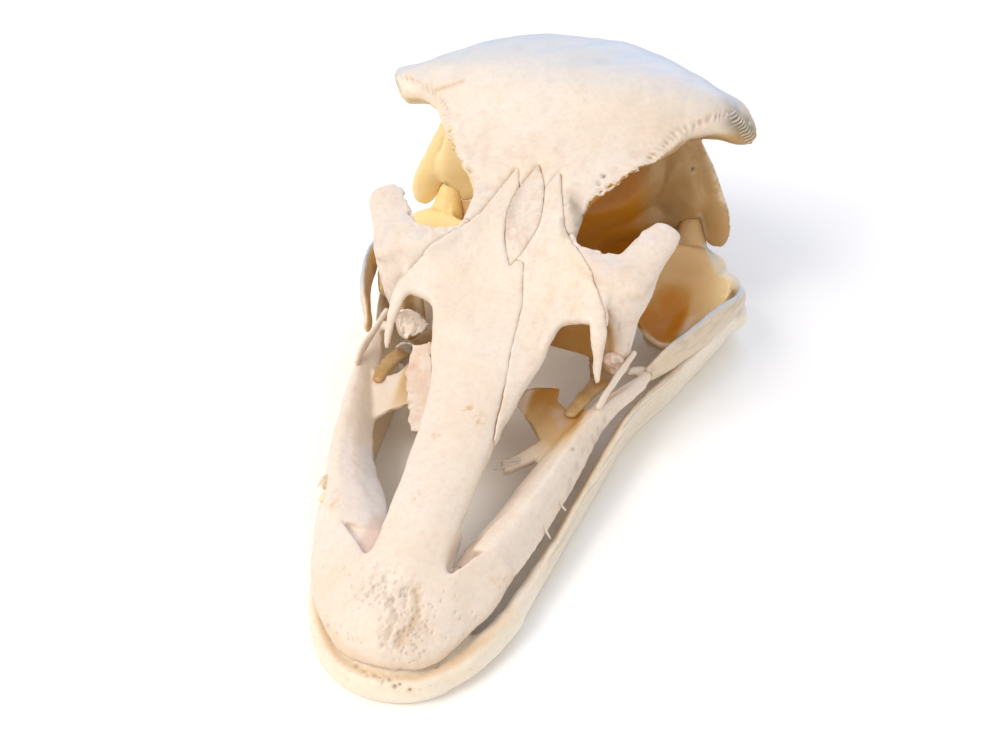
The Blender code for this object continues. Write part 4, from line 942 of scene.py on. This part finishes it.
def lower_jaw():
    """The fine skin of the joined bones: holes round the tip, and outer grooves, a cosine of the height."""
    nodes = ["dentary_tip", "ramus_l", "ramus_r", "articular_l", "articular_r"]
    made = fine_copy("lower_jaw_bone", nodes, 0.43, sheath_bone, bridge=0.2)
    mesh = made.data
    points, facing = vertices(mesh), normals(mesh)
    refine(mesh, (points[:, 1] < 24) & (facing[:, 2] > -0.2) & (points[:, 2] > 2))
    points, facing = vertices(mesh), normals(mesh)
    x, y, z = points.T
    rim = ease(26, 14, y) * ease(-0.1, 0.3, facing[:, 2])
    small = scattered(points, 60, 151, rim + 1e-9)
    sizes = np.random.default_rng(152).uniform(0.12, 0.24, len(small))
    width = np.random.default_rng(153).uniform(0.28, 0.46, len(TIP_HOLES))
    hole = spotted(points, TIP_HOLES, width)
    pinprick = spotted(points, small, sizes)
    across = np.abs(x) * math.cos(BRANCH_TURN) - y * math.sin(BRANCH_TURN)
    height = z + 0.35 * lattice_noise(points, 6.0, 154)
    groove = 0.5 + 0.5 * np.cos(2 * math.pi * height / GROOVE_PITCH)
    outward = facing @ (1, 0, 0) * np.sign(x)
    held = ease(36, 50, y) * ease(120, 100, y) * ease(2.5, 5.0, z) * ease(0.3, 0.7, outward)
    heights = -0.5 * hole - 0.16 * pinprick * rim - 0.1 * groove * held + 0.05 * fractal(points, 2.4, 155)
    heights += 0.03 * fibres(points, (0.15, 1, 0), 0.9, 156)
    raise_skin(mesh, heights * ease(0.2, 1.0, z))
    even_out(mesh, 1, push=0.25, pull=0.0)
    upper = ease(0.1, 0.6, facing[:, 2])
    line = np.cos(2 * math.pi * across / LINE_PITCH + lattice_noise(points, 8.0, 157))
    line = ease(0.35, 0.8, line)
    inner = ease(0.1, 0.7, -outward)
    amber_line = beside(points, bill_edge(0.6, 0.8, 6.4), 1.1) * ease(36, 30, y)
    halo = spotted(points, TIP_HOLES, 1.3)
    paint(
        mesh,
        # Ochre stain and painted shade in a line along the seam where the bill's margin sits on the jaw;
        # stain round the holes
        stain=np.maximum.reduce([0.55 * amber_line, 0.22 * halo, 0.06 * upper]),
        # Dirt in the grooves and fine lines; painted shade on the inner faces
        dust=np.maximum.reduce([0.3 * groove * held, 0.16 * line * upper * ease(34, 44, y), 0.1 * inner]),
        # Painted amber shade on the inner faces towards the back
        amber=0.25 * inner * ease(30, 60, y),
        # Painted shade in the holes and pinpricks
        pore=np.maximum(0.6 * hole, 0.22 * pinprick * rim),
        # Painted reflection of the sky on upward faces at the back
        cool=0.25 * upper * ease(110, 140, y),
    )


lower_jaw()

# Dried membrane and scraps
# Thin dried membrane closes the bottom of each eye socket. Rolled, porous plates of thin bone stand in the
# right nostril, and where the flesh was cleaned away a few torn ends, crumbs and fibres are left.

SOCKET_SHEET = (  # the upper edge and the lower one, on the left
    [(9, 139.6, 27.6), (15, 143.6, 26.6), (20, 146.6, 25.6), (26, 149.2, 26.4), (31, 150.6, 25)],
    [(9, 137.0, 16.0), (15, 140.8, 15.0), (20, 143.6, 15.0), (26, 146.0, 15.6), (31, 147.6, 17)],
)
NOSE_PLATES = {  # the edge that is held, the torn edge, bulge, thickness and the tints
    "nose_turbinate_r": (
        [(-14.3, 84, 30.2), (-12.5, 79.5, 28.0), (-10.7, 74, 25.2), (-8.7, 68, 24.4), (-7.4, 62, 23.7)],
        [(-19.6, 86, 26.5), (-19.6, 82, 23.5), (-18.5, 78, 20.7), (-16.4, 72, 19.0), (-12.6, 65, 18.8)],
        1.2,
        0.9,
        {"rose": 0.55, "amber": 0.1},
    ),
    "nose_fold_r": (
        [(-27.4, 95.0, 28.0), (-25.0, 96.0, 29.0), (-22.6, 95.4, 28.6), (-20.0, 94.6, 26.6)],
        [(-27.2, 95.0, 22.0), (-25.2, 94.0, 21.0), (-23.0, 95.0, 22.0), (-21.0, 95.0, 23.4)],
        1.8,
        0.6,
        {"cream": 0.7},
    ),
    "nose_scroll_r": (
        [(-28.3, 93.0, 18.5), (-26.6, 93.4, 20.0), (-24.4, 93.6, 20.4), (-21.8, 93.0, 19.0)],
        [(-28.2, 93.0, 13.4), (-26.4, 92.4, 12.6), (-24.6, 92.2, 12.8), (-22.4, 93.0, 14.6)],
        2.2,
        0.6,
        # Darker grey-brown, and a painted reflection of the sky
        {"dust": 0.45, "cool": 0.3},
    ),
}
TUBE_SIDES = 6
TUBE_RINGS = 16
FIBRES = [
    [(12.6, 68.2, 13.3), (9.6, 66.6, 13.5), (7.0, 65.6, 14.2)],
    [(12.4, 67.6, 13.0), (9.4, 65.2, 12.9), (7.3, 63.9, 12.4)],
    [(17.6, 66.6, 13.4), (16.8, 65.6, 12.4), (17.3, 64.4, 11.2)],
    [(23.4, 51.0, 12.6), (24.3, 50.0, 11.2), (25.2, 49.8, 9.6)],
    [(24.0, 59.4, 13.2), (25.2, 58.2, 11.8), (26.4, 58.0, 10.4)],
    [(-27.4, 49.0, 15.6), (-28.8, 48.4, 15.0), (-29.4, 47.0, 13.8)],
]
CRUMBS = {  # middle, reach and the tint
    "tear_foot_nodule": ((27.2, 97.2, 22.6), (2.6, 1.5, 2.5), "rose"),
    "dried_scrap_upper": ((-27.6, 48.2, 15.2), (1.3, 1.8, 0.7), "stain"),
    "dried_scrap_lower": ((-26.4, 44.0, 14.2), (1.0, 1.6, 0.6), "honey"),
}


def even_path(path, count):
    """The broken line read at even steps and rounded by the mean of its neighbours."""
    path = np.array(path, float)
    passed = np.r_[0, np.cumsum(np.linalg.norm(np.diff(path, axis=0), axis=1))]
    places = np.linspace(0, passed[-1], count)
    line = np.stack([np.interp(places, passed, column) for column in path.T], -1)
    for _ in range(count // 4):
        line[1:-1] += 0.5 * ((line[:-2] + line[2:]) / 2 - line[1:-1])
    return line


def leaf(held, torn, bulge, seed, rows=60, columns=30):
    """A grid from the held edge to the torn one: straight across, bulged by half a sine, torn by noise."""
    held, torn = even_path(held, rows)[:, None], even_path(torn, rows)[:, None]
    share = np.linspace(0, 1, columns)[None, :, None]
    rag = lattice_noise(torn[:, 0], 1.6, seed)[:, None, None]
    grid = held + (torn - held) * share * (1 + 0.16 * rag)
    across = np.cross(np.gradient(held[:, 0], axis=0), (torn - held)[:, 0])
    across /= np.linalg.norm(across, axis=1, keepdims=True)
    return grid + across[:, None] * (bulge * np.sin(math.pi * share) + 0.25 * rag * share)


def pillow(middle, reach, seed, count=40):
    """A grid over a square drawn in to an oval, and the thickness that rounds it to a nodule."""
    a, b = np.meshgrid(np.linspace(-1, 1, count), np.linspace(-1, 1, count), indexing="ij")
    wide, high = a * np.sqrt(1 - b * b / 2), b * np.sqrt(1 - a * a / 2)
    grid = np.array(middle) + np.stack([wide, 0 * wide, high], -1) * np.array(reach)
    round_off = np.sqrt(np.clip(1 - wide**2 - high**2, 0, 1))
    lumps = 1 + 0.5 * fractal(grid.reshape(-1, 3), 1.5, seed, 2).reshape(count, count)
    return grid, 2 * reach[1] * round_off * lumps + 0.05


def new_piece(name, points, faces, material):
    """A piece of these faces and points, which are in millimetres of the skull's own frame."""
    mesh = bpy.data.meshes.new(name)
    mesh.from_pydata(to_metres(points).tolist(), [], faces)
    made = bpy.data.objects.new(name, mesh)
    bpy.context.scene.collection.objects.link(made)
    settle(made, material)
    return mesh


def closed_sheet(name, grid, thickness, material):
    """Two faces, each half the thickness out from the grid along its normals, joined round the rim; they
    wander like the bones, so that the sheet stays on them."""
    rows, columns = grid.shape[:2]
    facing = np.cross(np.gradient(grid, axis=0), np.gradient(grid, axis=1))
    facing /= np.linalg.norm(facing, axis=-1, keepdims=True)
    half = np.broadcast_to(np.asarray(thickness) / 2, (rows, columns))[..., None]
    faces = np.concatenate([(grid + half * facing).reshape(-1, 3), (grid - half * facing).reshape(-1, 3)])
    index = np.arange(rows * columns).reshape(rows, columns)
    front = np.stack([index[:-1, :-1], index[1:, :-1], index[1:, 1:], index[:-1, 1:]], -1).reshape(-1, 4)
    ring = np.concatenate([index[0], index[1:, -1], index[-1, -2::-1], index[-2:0:-1, 0]])
    after = np.roll(ring, -1)
    behind = rows * columns
    rim = np.stack([ring, after, after + behind, ring + behind], -1)
    quads = np.concatenate([front, front[:, ::-1] + behind, rim])
    return new_piece(name, drift(faces), quads.tolist(), material)


def fibre_tubes(name, paths, width, material):
    """A ring of points carried along each rounded path, thinner towards its ends, and capped."""
    points, quads, caps = [], [], []
    turn = np.arange(TUBE_SIDES) * 2 * math.pi / TUBE_SIDES
    swelling = np.sin(np.linspace(0.9, math.pi - 0.25, TUBE_RINGS))
    numbers = np.arange(TUBE_RINGS * TUBE_SIDES).reshape(TUBE_RINGS, TUBE_SIDES)
    for number, path in enumerate(paths):
        line = even_path(path, TUBE_RINGS)
        ahead = np.gradient(line, axis=0)
        ahead /= np.linalg.norm(ahead, axis=1, keepdims=True)
        side = np.cross(ahead, (0.3, 0.2, 0.93))
        side /= np.linalg.norm(side, axis=1, keepdims=True)
        up = np.cross(side, ahead)
        thin = width * (0.25 + 0.75 * swelling)[:, None, None]
        ring = np.cos(turn)[None, :, None] * side[:, None] + np.sin(turn)[None, :, None] * up[:, None]
        index = number * numbers.size + numbers
        beside_it = np.roll(index, -1, axis=1)
        points.append((line[:, None] + thin * ring).reshape(-1, 3))
        quads.append(np.stack([index[:-1], index[1:], beside_it[1:], beside_it[:-1]], -1).reshape(-1, 4))
        caps += [index[0].tolist(), index[-1][::-1].tolist()]
    new_piece(name, np.concatenate(points), np.concatenate(quads).tolist() + caps, material)


for side, letter in SIDES.items():
    held, torn = [[(side * x, y, z) for x, y, z in edge] for edge in SOCKET_SHEET]
    grid = leaf(held, torn, 0.0, 161)
    sheet = closed_sheet("socket_membrane_" + letter, grid, 0.4, fatty_bone)
    count = len(sheet.vertices)
    # The left membrane is painted dark amber as shade; the right one, in the window's light, painted orange
    # as light shining through it
    amber, flame = (1.0, 0.0) if side == LEFT else (0.3, 0.8)
    paint(sheet, amber=np.full(count, amber), flame=np.full(count, flame))

for seed, (name, (held, torn, bulge, thickness, tints)) in enumerate(NOSE_PLATES.items(), 171):
    plate = closed_sheet(name, leaf(held, torn, bulge, seed), thickness, spongy_bone)
    points = vertices(plate)
    pores = ease(0.35, 0.7, fractal(points, 1.0, seed + 10, 2))
    raise_skin(plate, 0.14 * fractal(points, 1.4, seed) - 0.25 * pores)
    patches = ease(-1.0, 0.6, fractal(points, 3.0, seed + 5))
    paint(plate, **{tint: share * patches for tint, share in tints.items()})

for seed, (name, (middle, reach, tint)) in enumerate(CRUMBS.items(), 181):
    grid, thickness = pillow(middle, reach, seed)
    crumb = closed_sheet(name, grid, thickness, spongy_bone)
    points = vertices(crumb)
    tints = {tint: 0.5 + 0.4 * fractal(points, 1.5, seed + 5)}
    paint(crumb, **tints, dust=0.3 * ease(0.1, 0.7, fractal(points, 1.0, seed)))

fibre_tubes("dried_fibres", FIBRES, 0.34, spongy_bone)
